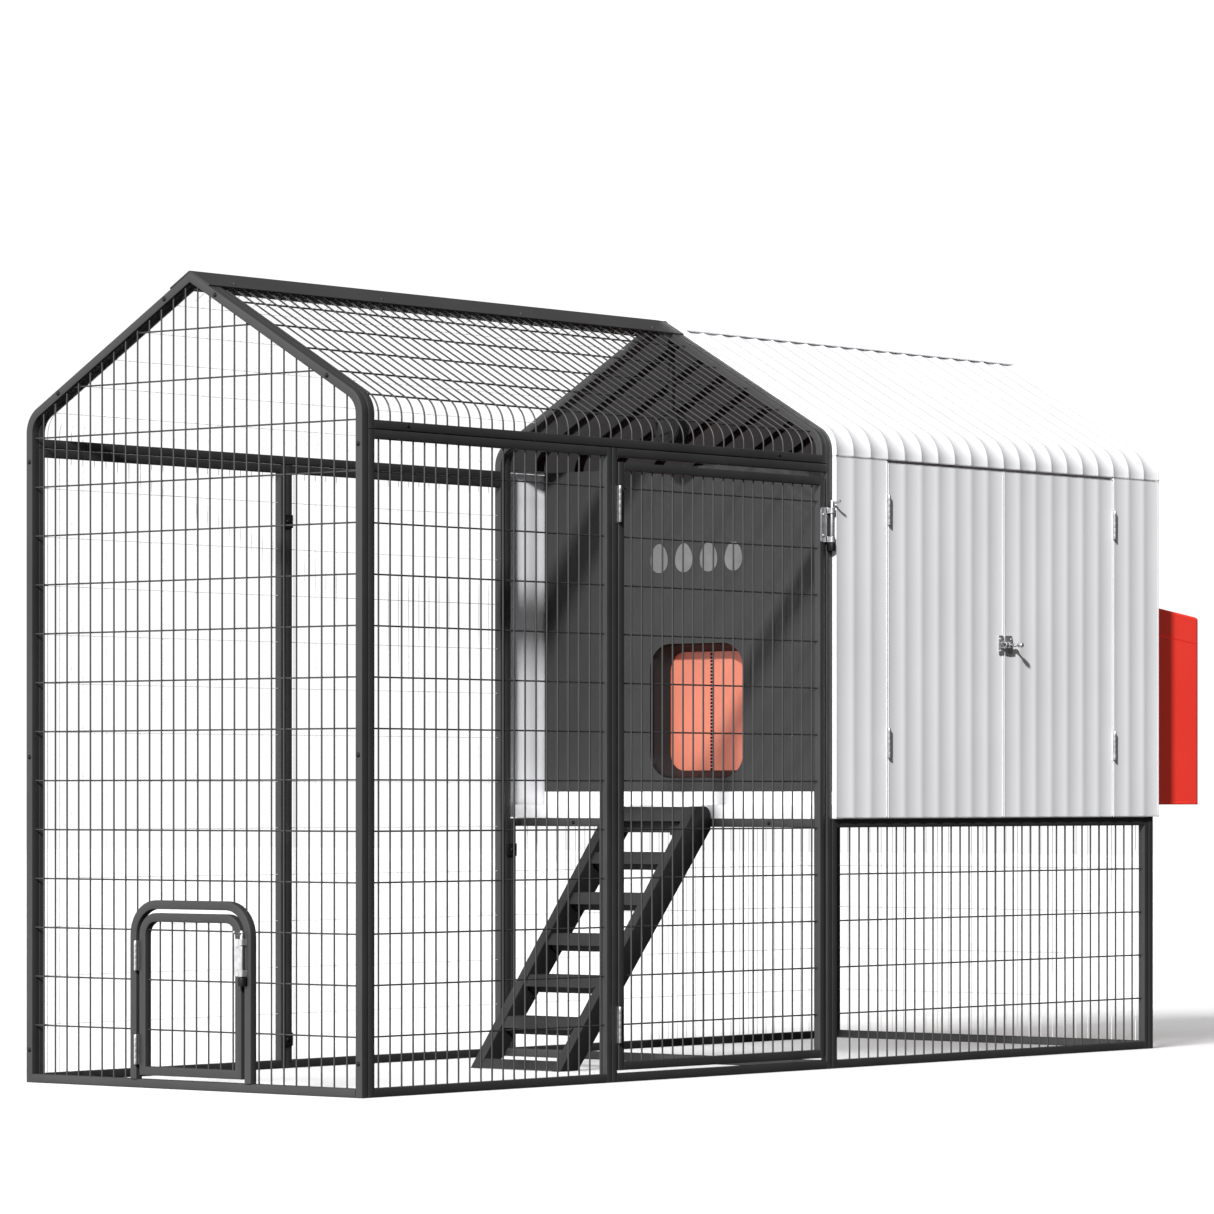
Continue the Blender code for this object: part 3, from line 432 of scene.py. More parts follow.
# ---- Wire panels -----------------------------------------------------------------------------------
def wire(bm, points, side, radius=WIRE_R):
    sweep(bm, points, arc((0, 0), radius, 0, 300, 5), side)


def cross_depth(radius=WIRE_R):
    """Where the cross wires lie: welded behind the uprights."""
    return WIRE_DEPTH + 1.8 * radius


def wire_grid(bm, place, columns, rows, u_span, v_span, up, side, radius=WIRE_R):
    """Uprights and cross wires between two pairs of tubes."""
    for u in columns:
        wire(bm, [place(u, v, WIRE_DEPTH) for v in (v_span[0] - BITE, v_span[1] + BITE)], side, radius)
    depth = cross_depth(radius)
    for v in rows:
        wire(bm, [place(u, v, depth) for u in (u_span[0] - BITE, u_span[1] + BITE)], up, radius)


def steps_from(first, last, pitch):
    return [first + pitch * i for i in range(int((last - first) / pitch + 1.001))]


ROWS = steps_from(WIRE_FIRST, 1.40, WIRE_STEP)
GABLE_COLUMNS = steps_from(-0.475, 0.476, WIRE_PITCH)
X_AXIS, Y_AXIS, Z_AXIS = (1, 0, 0), (0, 1, 0), (0, 0, 1)


def frame_of_tubes(bm, x0, x1, z0, z1, face, inward):
    """Two upright tubes with a rail between them at the top and the foot."""
    y = face + inward * TUBE / 2
    half = TUBE / 2
    for x in (x0 + half, x1 - half):
        bar(bm, (x, y, z0), (x, y, z1), X_AXIS)
    for z in (z0 + half, z1 - half):
        bar(bm, (x0 + TUBE, y, z), (x1 - TUBE, y, z), Y_AXIS)


def long_panel(name, face, inward, first, last, node=None, rows=ROWS, body="coop", pale=False):
    """A framed wire panel of a long side, with the full set of wires."""
    low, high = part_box(node or name + "_frame")
    bm = bmesh.new()
    frame_of_tubes(bm, low.x, high.x, low.z, high.z, face, inward)
    piece(name + "_tubes", bm, "frame_paint", body, [node or name + "_frame"])
    bm = bmesh.new()
    columns = steps_from(first, last, WIRE_PITCH)
    wire_grid(bm, wall_place(face, inward), columns, rows, (low.x + TUBE, high.x - TUBE),
              (low.z + TUBE, high.z - TUBE), Z_AXIS, Y_AXIS, PALE_WIRE_R if pale else WIRE_R)
    piece(name + "_wires", bm, "zinc" if pale else "wire_paint", body, [] if node else [name + "_mesh"],
          smooth=70, look=PALE_WIRE if pale else None)


def clamp(bm, x, z, face, inward):
    """A folded clamp that ties two neighbouring posts together from inside."""
    y = face + inward * (TUBE + 0.004)
    add(bm, block((x - 0.019, min(y, y + inward * -0.004), z - 0.016),
                  (x + 0.019, max(y, y + inward * -0.004), z + 0.016), 0.0012))
    dome_bolt(bm, (x, y, z), (0, inward, 0), 0.005)


def run_sides():
    left = (RUN_END + 0.062, RUN_END + 0.823)
    long_panel("front_panel", FRONT, 1, *left)
    long_panel("back_panel_left", BACK, -1, *left, pale=True)
    long_panel("back_panel_right", BACK, -1, RUN_END + 0.896, RUN_END + 1.619, pale=True)
    bm = bmesh.new()
    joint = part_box("back_panel_right_frame")[0].x
    for z in (0.070, 1.330):
        clamp(bm, joint, z, BACK, -1)
        clamp(bm, joint, z, FRONT, 1)
    for z in (0.070, 0.525):
        clamp(bm, HOUSE_START, z, BACK, -1)
    piece("panel_clamps", bm, "black_plastic")


def run_door():
    """The person's door with its surround and hinges."""
    low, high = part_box("run_door_surround")
    post, half, y = 0.018, TUBE / 2, FRONT + TUBE / 2
    bm = bmesh.new()
    bar(bm, (low.x + post / 2, y, 0), (low.x + post / 2, y, high.z), Y_AXIS, box_section(post, TUBE))
    for z in (half, high.z - half):
        bar(bm, (low.x + post, y, z), (high.x, y, z), Y_AXIS)
    piece("run_door_surround_tubes", bm, "frame_paint", replaces=["run_door_surround"])
    long_panel("run_door", FRONT, 1, RUN_END + 0.934, RUN_END + 1.619, body="run_door")
    for end in ("lower", "upper"):
        hinge("run_door_hinge_" + end, "run_door", Vector((0, 1, 0)), 1)


def gable_mesh_limits(y, gate):
    """Foot and top of an upright in the gable."""
    centre, reach, top, radius = gate
    foot = TUBE
    out = abs(y - centre)
    if out < reach:
        corner = out - (reach - radius)
        foot = top - radius + math.sqrt(radius ** 2 - corner ** 2) if corner > 0 else top
    return foot, arch_height(y, TUBE)


def gable():
    """The gable hoop, its wires and the small gate's surround."""
    half = TUBE / 2
    depth = HOOP_BACK - RUN_END
    middle = RUN_END + depth / 2
    hoop = bmesh.new()
    path = [(middle, y, z) for y, z in arch(half, 0)]
    sweep(hoop, path, box_section(TUBE, depth), X_AXIS)
    bar(hoop, (middle, FRONT + TUBE, half), (middle, BACK - TUBE, half), X_AXIS, box_section(TUBE, depth))
    piece("gable_hoop", hoop, "frame_paint", replaces=["run_end_hoop"])

    low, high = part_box("gate_surround")
    centre, reach, top = (low.y + high.y) / 2, (high.y - low.y) / 2, high.z
    radius = 0.079
    surround = bmesh.new()
    ring = rounded(low.y + half, low.z, high.y - half, top - half, (0, 0, radius - half, radius - half))
    ring = ring[1:-len(ring) + 1] + ring[1:]
    face_depth = high.x - low.x
    path = [((low.x + high.x) / 2, y, z) for y, z in [*ring, (low.y + half, low.z)]]
    sweep(surround, path, box_section(TUBE, face_depth), X_AXIS)
    piece("gate_surround_tube", surround, "frame_paint", replaces=["gate_surround"])

    gate = (centre, reach, top, radius)
    place = gable_place(RUN_END)
    bm = bmesh.new()
    for y in GABLE_COLUMNS:
        foot, head = gable_mesh_limits(y, gate)
        wire(bm, [place(y, foot - BITE, WIRE_DEPTH), place(y, head + BITE, WIRE_DEPTH)], X_AXIS)
    for z in steps_from(WIRE_FIRST, APEX - 0.05, WIRE_STEP):
        out = arch_reach(z, TUBE) + BITE
        spans = [(-out, out)]
        if z < top:
            drop = z - (top - radius)
            side = reach - radius + math.sqrt(radius ** 2 - drop ** 2) if drop > 0 else reach
            spans = [(-out, centre - side + BITE), (centre + side - BITE, out)]
        for span in spans:
            wire(bm, [place(y, z, cross_depth()) for y in span], Z_AXIS)
    piece("gable_wires", bm, "wire_paint", replaces=["run_end_mesh"], smooth=70)


def gate():
    """The gate's leaf: a bent tube ring with wires and two hinges."""
    low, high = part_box("gate_leaf")
    half = TUBE / 2
    radius = 0.050 - half
    middle = (low.x + high.x) / 2
    ring = rounded(low.y + half, low.z + half, high.y - half, high.z - half, (0, 0, radius, radius))
    bm = bmesh.new()
    sweep(bm, [(middle, y, z) for y, z in ring], SQUARE, X_AXIS, closed=True)
    piece("gate_leaf_ring", bm, "frame_paint", "gate", ["gate_leaf"])
    bm = bmesh.new()
    columns = steps_from(-0.133, 0.096, WIRE_PITCH)
    wire_grid(bm, gable_place(low.x), columns, ROWS[:3], (low.y + TUBE, high.y - TUBE),
              (low.z + TUBE, high.z - TUBE), Z_AXIS, X_AXIS)
    piece("gate_wires", bm, "wire_paint", "gate", smooth=70)
    for end in ("lower", "upper"):
        hinge("gate_hinge_" + end, "gate", Vector((1, 0, 0)), 1)


def hinge(node, body, into, side):
    """A barrel of five knuckles with pin heads, and the one leaf that goes back from it into the gap."""
    low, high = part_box(node)
    radius = 0.004
    centre = low + Vector((radius, radius, 0))
    length = high.z - low.z
    knuckles, groove = 5, 0.0005
    profile = [(radius * 0.55, 0.0), (radius * 0.95, 0.0006)]
    for i in range(knuckles):
        start, end = length * i / knuckles, length * (i + 1) / knuckles
        profile += [(radius, start + 0.0011), (radius, end - 0.0011), (radius - groove, end - 0.0006),
                    (radius - groove, end)]
    profile = profile[:-2] + [(radius * 0.95, length - 0.0006), (radius * 0.55, length)]
    bm = bmesh.new()
    lathe(bm, profile, centre, Z_AXIS, 18)
    reach = (high - low).dot(into) - radius
    across = Vector((into.y, -into.x, 0)) * side
    edge = centre + across * HINGE_SHIFT[node.split("_")[0]]
    sweep(bm, [edge + into * radius * 0.6, edge + into * reach], rectangle(-0.0006, 0, 0.0006, length),
          Z_AXIS)
    piece(node + "_barrel", bm, "zinc", body, [node])


# ---- Roof of the run -------------------------------------------------------------------------------
def run_roof():
    half = TUBE / 2
    for name, side in (("front", -1), ("back", 1)):
        low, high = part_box(f"run_roof_{name}_frame")
        x0, x1 = low.x, high.x
        foot, head = low.z - BEND_START, RIDGE_S - 0.013
        place = roof_place(side)
        stations = bend_stations(foot, head)
        bm = bmesh.new()
        for x in (x0 + half, x1 - half):
            sweep(bm, [place(x, s, half) for s in stations], SQUARE, X_AXIS)
        for s in (foot + half, head - half):
            start, end = place(x0 + TUBE, s, half), place(x1 - TUBE, s, half)
            up = (place(x0, s, 0) - place(x0, s, TUBE)).normalized()
            bar(bm, start, end, up)
        piece(f"run_roof_{name}_tubes", bm, "frame_paint", replaces=[f"run_roof_{name}_frame"])
        bm = bmesh.new()
        pale = side > 0
        radius = PALE_WIRE_R if pale else WIRE_R
        along = bend_stations(foot + TUBE - BITE, head - TUBE + BITE)
        for x in steps_from(x0 + 0.040, x1 - 0.030, WIRE_PITCH):
            wire(bm, [place(x, s, WIRE_DEPTH) for s in along], X_AXIS, radius)
        for s in steps_from(BEND_LENGTH, head - TUBE, WIRE_STEP):
            up = (place(x0, s, 0) - place(x0, s, TUBE)).normalized()
            wire(bm, [place(x, s, cross_depth(radius)) for x in (x0 + TUBE - BITE, x1 - TUBE + BITE)], up,
                 radius)
        piece(f"run_roof_{name}_wires", bm, "zinc" if pale else "wire_paint",
              replaces=[f"run_roof_{name}_mesh"], smooth=70, look=PALE_WIRE if pale else None)


def ridge_strips(bm, reach, under, x0, x1):
    """Strips under both legs of the house's ridge cap, up to 30 mm short of the crest."""
    over = -0.0118
    ends = (RIDGE_S - reach, RIDGE_S - 0.030)
    outline = [(ends[0], over), (ends[0], under), (ends[1], under), (ends[1], over)]
    for side in (-1, 1):
        place = roof_place(side)
        loft(bm, [[place(x, s, depth) for s, depth in outline] for x in (x0, x1)])


def ridge_caps():
    """The charcoal strip over the run's ridge, the white one over the house, what closes its gaps, and a
    black strip of painted shade in its vent.
    """
    for node, slot, leg, sheet in (("run_ridge_cap", "frame_paint", 0.070, 0.003),
                                   ("house_ridge_cap", "white_shell", 0.080, 0.0025)):
        low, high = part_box(node)
        top = high.z
        run, drop = leg * math.cos(PITCH), leg * math.sin(PITCH)
        fold = arc((0, 0), 0.004, 60, 120, 4)
        outer = [(run + sheet * 0.5, top - drop - sheet * 0.29), *[(y, top - 0.0046 + z) for y, z in fold],
                 (-run - sheet * 0.5, top - drop - sheet * 0.29)]
        under = sheet / math.cos(PITCH)
        inner = [(-run, top - under - drop), (0, top - under - 0.0005), (run, top - under - drop)]
        bm = prism(outer + inner, "X", low.x, high.x)
        for x in steps_from(low.x + 0.10, high.x - 0.09, (high.x - low.x - 0.20) / 3 - 0.0001):
            for side in (-1, 1):
                at = Vector((x, side * run * 0.72, top - drop * 0.72 - 0.0012))
                dome_bolt(bm, at, (0, side * math.sin(PITCH), math.cos(PITCH)), 0.0042)
        piece(node + "_strip", bm, slot, replaces=[node])
    bm = bmesh.new()
    low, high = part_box("house_ridge_cap")
    ridge_strips(bm, 0.066, -0.0005, low.x + 0.001, low.x + 0.150)
    ridge_strips(bm, 0.066, -0.0005, high.x - 0.100, high.x - 0.001)
    crest, leg, tall, plate = high.z - 0.0038, 0.072, 0.0085, 0.003
    reach, foot = leg * math.cos(PITCH), crest - leg * math.sin(PITCH)
    chevron = [(reach, foot), (0, crest), (-reach, foot), (-reach, foot - tall), (0, crest - tall),
               (reach, foot - tall)]
    for x in (low.x + 0.0006, high.x - 0.0006 - plate):
        add(bm, prism(chevron, "X", x, x + plate))
    piece("ridge_closures", bm, "white_shell")
    bm = bmesh.new()
    # a black strip in the gap under the cap: painted shade
    ridge_strips(bm, 0.064, -0.0055, low.x + 0.151, high.x - 0.101)
    piece("ridge_vent_painted_shade", bm, "black_plastic", look=PAINTED_SHADE)


def gable_bolts():
    """Domed bolts down the gable hoop, on the rails and on the hoops of the house."""
    bm = bmesh.new()
    edge = 0.011
    for y in (FRONT + edge, BACK - edge):
        for z in (0.075, 0.752, 1.434):
            dome_bolt(bm, (RUN_END, y, z), (-1, 0, 0), 0.0046)
    for y in (-0.421, -0.0795, 0.0795, 0.421):
        dome_bolt(bm, (RUN_END, y, arch_height(y, 0.009)), (-1, 0, 0), 0.0046)
    for y in (-0.30, 0.33):
        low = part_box("floor_beam")[0]
        dome_bolt(bm, (low.x, y, low.z + TUBE / 2), (-1, 0, 0), 0.0042)
    for x in (RUN_END + 0.15, RUN_END + 1.48):
        for side in (-1, 1):
            at = roof_place(side)(x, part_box("run_roof_front_frame")[0].z - BEND_START + 0.012, 0)
            dome_bolt(bm, at, (0, side, 0), 0.0036)
    for z in (0.13, 0.50):
        for y in (FRONT + edge, BACK - edge):
            dome_bolt(bm, (END_FACE, y, z), (1, 0, 0), 0.0042)
    piece("frame_bolts", bm, "black_plastic")


# ---- House frame -----------------------------------------------------------------------------------
def house_frame():
    half = TUBE / 2
    for node in ("middle_hoop", "end_hoop"):
        low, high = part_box(node)
        x = (low.x + high.x) / 2
        bm = bmesh.new()
        sweep(bm, [(x, y, z) for y, z in arch(half, 0)], SQUARE, X_AXIS)
        levels = [half]
        if node == "end_hoop":
            levels.append(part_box("underhouse_front_panel")[1].z - half)
        for z in levels:
            bar(bm, (x, FRONT + TUBE, z), (x, BACK - TUBE, z), X_AXIS)
        piece(node + "_tube", bm, "frame_paint", replaces=[node])
    first, last = RUN_END + 1.769, RUN_END + 2.986
    rows = ROWS[:4]
    for name, face, inward in (("front", FRONT, 1), ("back", BACK, -1)):
        long_panel("underhouse_" + name, face, inward, first, last, f"underhouse_{name}_panel", rows,
                   pale=inward < 0)
    bm = bmesh.new()
    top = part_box("underhouse_front_panel")[1].z
    wire_grid(bm, gable_place(END_FACE, -1), GABLE_COLUMNS, rows, (FRONT + TUBE, BACK - TUBE),
              (TUBE, top - TUBE), Z_AXIS, X_AXIS, PALE_WIRE_R)
    piece("underhouse_end_wires", bm, "zinc", replaces=["underhouse_end_mesh"], smooth=70, look=PALE_WIRE)
    low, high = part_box("floor_beam")
    bm = bmesh.new()
    x, z = (low.x + high.x) / 2, (low.z + high.z) / 2
    bar(bm, (x, low.y, z), (x, high.y, z), X_AXIS)
    piece("floor_beam_tube", bm, "frame_paint", replaces=["floor_beam"])


# ---- Cladding --------------------------------------------------------------------------------------
def scoop_depth(u, first, scoop):
    share = ((u - first) / FLUTE) % 1.0
    return scoop * (1 - (2 * share - 1) ** 2)


def scooped_sheet(x0, x1, first, scoop=SCOOP):
    """A thin sheet's outline: scooped ribs with a flat lip and a return at each end; (along, depth)."""
    count = round((x1 - first) / FLUTE)
    points = [first + FLUTE * k / SCOOP_STEPS for k in range(1, count * SCOOP_STEPS)]
    ends = (x0 + LIP, x1 - LIP)
    middle = [ends[0], *[u for u in points if ends[0] + 0.001 < u < ends[1] - 0.001], ends[1]]
    wave = [(u, scoop_depth(u, first, scoop) - CLAD) for u in middle]
    outer = [(x0, -CLAD), (ends[0], -CLAD), *wave, (ends[1], -CLAD), (x1, -CLAD)]
    inner = [(u, depth + SHEET) for u, depth in wave]
    flat = SHEET - CLAD
    inner = [(x0 + SHEET, flat), (ends[0], flat), *inner, (ends[1], flat), (x1 - SHEET, flat)]
    return outer, [(x0, 0), *outer, (x1, 0), (x1 - SHEET, 0), *reversed(inner), (x0 + SHEET, 0)]


def clad_wall(name, node, face, inward, first, body="coop"):
    """A flat piece of cladding with closing strips at its top and foot."""
    low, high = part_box(node)
    outer, sheet = scooped_sheet(low.x, high.x, first)
    place = wall_place(face, inward)
    bm = bmesh.new()
    loft(bm, [[place(u, z, depth) for u, depth in sheet] for z in (low.z, high.z)])
    solid = [*outer, (high.x - SHEET, -0.0002), (low.x + SHEET, -0.0002)]
    for z in (low.z, high.z - SHEET):
        loft(bm, [[place(u, w, depth) for u, depth in solid] for w in (z + 0.0001, z + SHEET - 0.0001)])
    piece(name, bm, "white_shell", body, [node], smooth=24)


def cladding():
    doors = [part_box("house_door_left"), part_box("house_door_right")]
    gap = 0.002
    line = doors[0][0].x - gap
    middle = doors[1][0].x - gap
    right = doors[1][1].x + gap
    clad_wall("front_wall_left", "house_front_left_wall", FRONT, 1, HOUSE_START)
    clad_wall("front_wall_right", "house_front_right_wall", FRONT, 1, right)
    clad_wall("house_door_left_sheet", "house_door_left", FRONT, 1, line, "house_door_left")
    clad_wall("house_door_right_sheet", "house_door_right", FRONT, 1, middle, "house_door_right")
    clad_wall("back_wall_sheet", "house_back_wall", BACK, -1, HOUSE_START)
    for side, name in ((-1, "front"), (1, "back")):
        node = f"house_roof_{name}"
        low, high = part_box(node)
        place = roof_place(side)
        outer, sheet = scooped_sheet(low.x, high.x, HOUSE_START, ROOF_SCOOP)
        foot = ROOF_SEAM - BEND_START + 0.0012
        head = RIDGE_S + CLAD * math.tan(PITCH) - 0.016
        bm = bmesh.new()
        loft(bm, [[place(u, s, depth) for u, depth in sheet] for s in bend_stations(foot, head)])
        solid = [*outer, (high.x - SHEET, 0), (low.x + SHEET, 0)]
        loft(bm, [[place(u, s, depth) for u, depth in solid] for s in (foot + 0.0001, foot + SHEET)])
        piece(f"roof_sheet_{name}", bm, "white_shell", replaces=[node], smooth=24)
        lining(name, place)


def lining(name, place):
    """Grey scooped lining under one slope of the house roof, with dark battens across it; its glow is painted
    light.
    """
    x0, x1 = HOUSE_START + 0.002, END_FACE - TUBE - 0.002
    stations = bend_stations(-0.004, RIDGE_S - 0.012)
    count = int((x1 - x0) / FLUTE)
    waves = [x0 + (x1 - x0) * i / (count * 6) for i in range(count * 6 + 1)]
    face = [(u, 0.0040 + 0.0035 * math.sin(math.pi * (u - x0) / (x1 - x0) * count) ** 2) for u in waves]
    bm = bmesh.new()
    loft(bm, [[place(u, s, depth) for u, depth in [*face, (x1, 0.0008), (x0, 0.0008)]] for s in stations])
    piece(f"roof_lining_{name}", bm, "inner_shell", smooth=50, look=PAINTED_LIGHT_LININGS[name])
    bm = bmesh.new()
    batten, deep = 0.030, 0.012
    for i in range(int((x1 - x0) / (2.25 * FLUTE))):
        u = x0 + 2.25 * FLUTE * (i + 0.7)
        outline = rounded(u, 0.0030, u + batten, deep, (0, 0, 0.002, 0.002), 2)
        loft(bm, [[place(a, s, depth) for a, depth in outline] for s in stations])
    piece(f"roof_battens_{name}", bm, "black_plastic", smooth=40)


def end_wall():
    """The scooped end wall, cut to the roof's shape and open to the nest box."""
    low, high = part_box("house_end_wall")
    depth = 0.003
    count = 15
    pitch = 2 * HALF / count
    scoops = []
    for i in range(count):
        for k in range(SCOOP_STEPS):
            share = k / SCOOP_STEPS
            scoops.append((high.x - depth * (1 - (2 * share - 1) ** 2), -HALF + pitch * (i + share)))
    outline = [(low.x, HALF), (low.x, -HALF), *scoops, (high.x, HALF)]
    blank = prism(outline, "Z", low.z, APEX)
    wall = carved("end_wall", blank, [prism(arch(0.0004, low.z - 1), "X", low.x - 1, high.x + 1)],
                  "INTERSECT")
    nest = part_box("nest_box_shell")
    way = rectangle(nest[0].y + 0.036, 0.720, nest[1].y - 0.036, 1.040)
    wall = carved("end_wall", wall, [prism(way, "X", low.x - 1, high.x + 1)])
    piece("end_wall_sheet", wall, "white_shell", replaces=["house_end_wall"], smooth=24)


def floor_tray():
    low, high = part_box("house_floor")
    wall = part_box("inner_wall")
    top = 0.640
    notch = TUBE + 0.0006
    inner = high.x - notch
    outline = [(low.x, low.y), (inner, low.y), (inner, low.y + notch), (high.x, low.y + notch),
               (high.x, high.y - notch), (inner, high.y - notch), (inner, high.y), (low.x, high.y)]
    bm = prism(outline, "Z", low.z, top, 0.0022, 3)
    add(bm, block((wall[0].x, low.y, top - 0.002), (wall[0].x + 0.012, high.y, 0.673), 0.0012))
    for side in (-1, 1):
        y = side * (HALF - 0.012)
        add(bm, block((wall[0].x + 0.014, min(y, y - side * 0.006), top - 0.002),
                      (inner - 0.004, max(y, y - side * 0.006), top + 0.018), 0.0012))
    piece("floor_tray", bm, "white_shell", replaces=["house_floor"])


def inner_wall():
    """The dark wall with shallow upright grooves, a rounded opening and a deep reveal."""
    low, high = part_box("inner_wall")
    thick = 0.012
    pitch, half_groove, deep = 0.0376, 0.0012, 0.0009
    face = []
    count = int((high.y - low.y) / pitch)
    start = -pitch * count / 2 + pitch / 2
    for i in range(count):
        y = start + pitch * i
        face += [(low.x, y - half_groove), (low.x + deep, y), (low.x, y + half_groove)]
    outline = [(low.x + thick, low.y), (low.x, low.y), *face, (low.x, high.y), (low.x + thick, high.y)]
    y0, y1 = POP_Y - POP_WIDTH / 2, POP_Y + POP_WIDTH / 2

    def way(depth, out=0.0):
        inset = POP_TAPER * depth / POP_DEPTH - out
        outline = rounded(y0 + inset, POP_LOW + inset, y1 - inset, POP_HIGH - inset, (POP_R - inset,) * 4, 14)
        return [Vector((low.x + depth, y, z)) for y, z in outline]

    opening = bmesh.new()
    loft(opening, [way(-0.010), way(0.030)])
    wall = carved("inner_wall", prism(outline, "Z", low.z, high.z), [opening])
    sleeve = bmesh.new()
    thick_end = POP_DEPTH - 0.0015
    loft(sleeve, [way(0.0004), way(0.020), way(0.040), way(thick_end), way(POP_DEPTH, 0.0012),
                  way(POP_DEPTH, 0.0068), way(thick_end, 0.008), way(thick / 2, 0.008)], closed=True)
    # the sleeve takes a darker grey than the wall: painted shade in the reveal
    piece("pop_opening_sleeve", sleeve, "inner_shell", smooth=40, look=SLEEVE_PAINTED_SHADE)
    for y in (y0 - 0.018, y1 + 0.014):
        add(wall, block((low.x + thick / 2, y, low.z + 0.004), (high.x, y + 0.004, 1.470), 0.0008))
    piece("inner_wall_moulding", wall, "inner_shell", replaces=["inner_wall"])
    bm = bmesh.new()
    for i in (-1.5, -0.5, 0.5, 1.5):
        egg = []
        for turn in range(28):
            t = 2 * math.pi * turn / 28
            narrow = 1 - 0.16 * math.sin(t)
            egg.append((POP_Y + 0.080 * i + 0.028 * narrow * math.cos(t), 1.262 + 0.037 * math.sin(t)))
        add(bm, prism(egg, "X", low.x - 0.0012, low.x + 0.0003, 0.0005, 1))
    piece("egg_motif", bm, "white_shell", look=MOTIF)


def pop_door():
    """The sliding coral door with a column of slots over its dark rack."""
    low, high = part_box("pop_door")
    pitch, thick = RACK_PITCH, 0.005
    slot_y, half_slot, half_height = DRIVE_Y, 0.0052, 0.0030
    count = round((high.z - low.z) / pitch)
    ys = [low.y, slot_y - half_slot, slot_y + half_slot, high.y]
    zs = [low.z]
    for i in range(count):
        middle = low.z + pitch * (i + 0.5)
        zs += [middle - half_height, middle + half_height]
    zs.append(high.z)
    bm = bmesh.new()
    made = {}

    def point(i, j, k):
        if (i, j, k) not in made:
            made[i, j, k] = bm.verts.new((low.x + thick * k, ys[i], zs[j]))
        return made[i, j, k]

    def solid(i, j):
        return 0 <= i < 3 and 0 <= j < len(zs) - 1 and not (i == 1 and j % 2)

    for i in range(3):
        for j in range(len(zs) - 1):
            if not solid(i, j):
                continue
            ring = [(i, j), (i + 1, j), (i + 1, j + 1), (i, j + 1)]
            for k in (0, 1):
                bm.faces.new([point(a, b, k) for a, b in ring])
            beyond = [(i, j - 1), (i + 1, j), (i, j + 1), (i - 1, j)]
            for (a, b), (c, d), other in zip(ring, ring[1:] + ring[:1], beyond):
                if not solid(*other):
                    bm.faces.new([point(a, b, 0), point(c, d, 0), point(c, d, 1), point(a, b, 1)])
    for y in (low.y + 0.030, high.y - 0.030):
        add(bm, block((low.x + thick - 0.001, y - 0.002, low.z + 0.006),
                      (high.x - 0.003, y + 0.002, high.z - 0.006), 0.0008))
    piece("pop_door_panel", bm, "pop_plastic", "pop_door", ["pop_door"])
    back = low.x + thick
    root, tip = back + 0.004, high.x
    outline = [(back + 0.0002, low.z)]
    for i in range(count):
        z = low.z + pitch * (i + 0.5)
        outline += [(root, z - 0.0024), (tip, z - 0.0009), (tip, z + 0.0009), (root, z + 0.0024)]
    outline.append((back + 0.0002, high.z))
    piece("pop_door_rack", prism(outline, "Y", slot_y - 0.009, slot_y + 0.009, 0.0003, 1), "black_plastic",
          "pop_door")
    # near-black fillings in the slots are painted shade, standing for the dark inside of each slot
    slot_shade = bmesh.new()
    for i in range(count):
        z = low.z + pitch * (i + 0.5)
        add(slot_shade, block((low.x + 0.0008, slot_y - half_slot + 0.0001, z - half_height + 0.0001),
                         (low.x + thick, slot_y + half_slot - 0.0001, z + half_height - 0.0001), 0.0003))
    piece("pop_door_slot_painted_shade", slot_shade, "black_plastic", "pop_door", look=PAINTED_SHADE)


def drive():
    """The pinion with its hub, and the motor's case with its cover, screws and vents."""
    low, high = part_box("drive_pinion")
    centre = Vector(((low.x + high.x) / 2, DRIVE_Y, (low.z + high.z) / 2))
    pitch_r = RACK_TEETH * RACK_PITCH / (2 * math.pi)
    outline = []
    for i in range(RACK_TEETH):
        middle = 360 / RACK_TEETH * i
        for radius, turn in ((pitch_r - 0.0028, -7.0), (pitch_r + 0.0002, -4.6), (pitch_r + 0.0018, -2.4),
                             (pitch_r + 0.0018, 2.4), (pitch_r + 0.0002, 4.6), (pitch_r - 0.0028, 7.0)):
            t = math.radians(middle + turn)
            outline.append((centre.x + radius * math.cos(t), centre.z + radius * math.sin(t)))
    bm = prism(outline, "Y", centre.y - 0.008, centre.y + 0.008, 0.0004, 1)
    hub = [(0.0075, -0.0100), (0.0085, -0.0090), (0.0085, -0.0079)]
    lathe(bm, hub, centre, Y_AXIS, 24)
    lathe(bm, [(0.004, 0.0078), (0.004, 0.0190)], centre, Y_AXIS, 20)
    piece("drive_pinion_gear", bm, "black_plastic", "drive_pinion", ["drive_pinion"])

    low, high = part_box("drive_motor")
    arm_back = low.x
    side = DRIVE_Y + 0.0195
    x0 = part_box("pop_door")[1].x + 0.0054
    leg = high.y - 0.020
    z0, z1 = low.z, high.z
    motor = [(x0, side), (high.x, side), (high.x, high.y), (arm_back, high.y), (arm_back, leg), (x0, leg)]
    bm = prism(motor, "Z", z0, z1, 0.0028, 3)
    add(bm, block((x0 + 0.006, side + 0.010, z1 - 0.001), (high.x - 0.006, leg - 0.012, z1 + 0.0022), 0.0010))
    for y in (side + 0.016, leg - 0.018):
        for x in (x0 + 0.011, high.x - 0.011):
            screw(bm, (x, y, z1 + 0.0022), Z_AXIS)
    for i in range(6):
        z = z0 + 0.012 + 0.006 * i
        add(bm, block((high.x - 0.0012, side + 0.018, z), (high.x + 0.0010, leg - 0.02, z + 0.0026), 0.0005))
    piece("drive_motor_case", bm, "black_plastic", replaces=["drive_motor"])


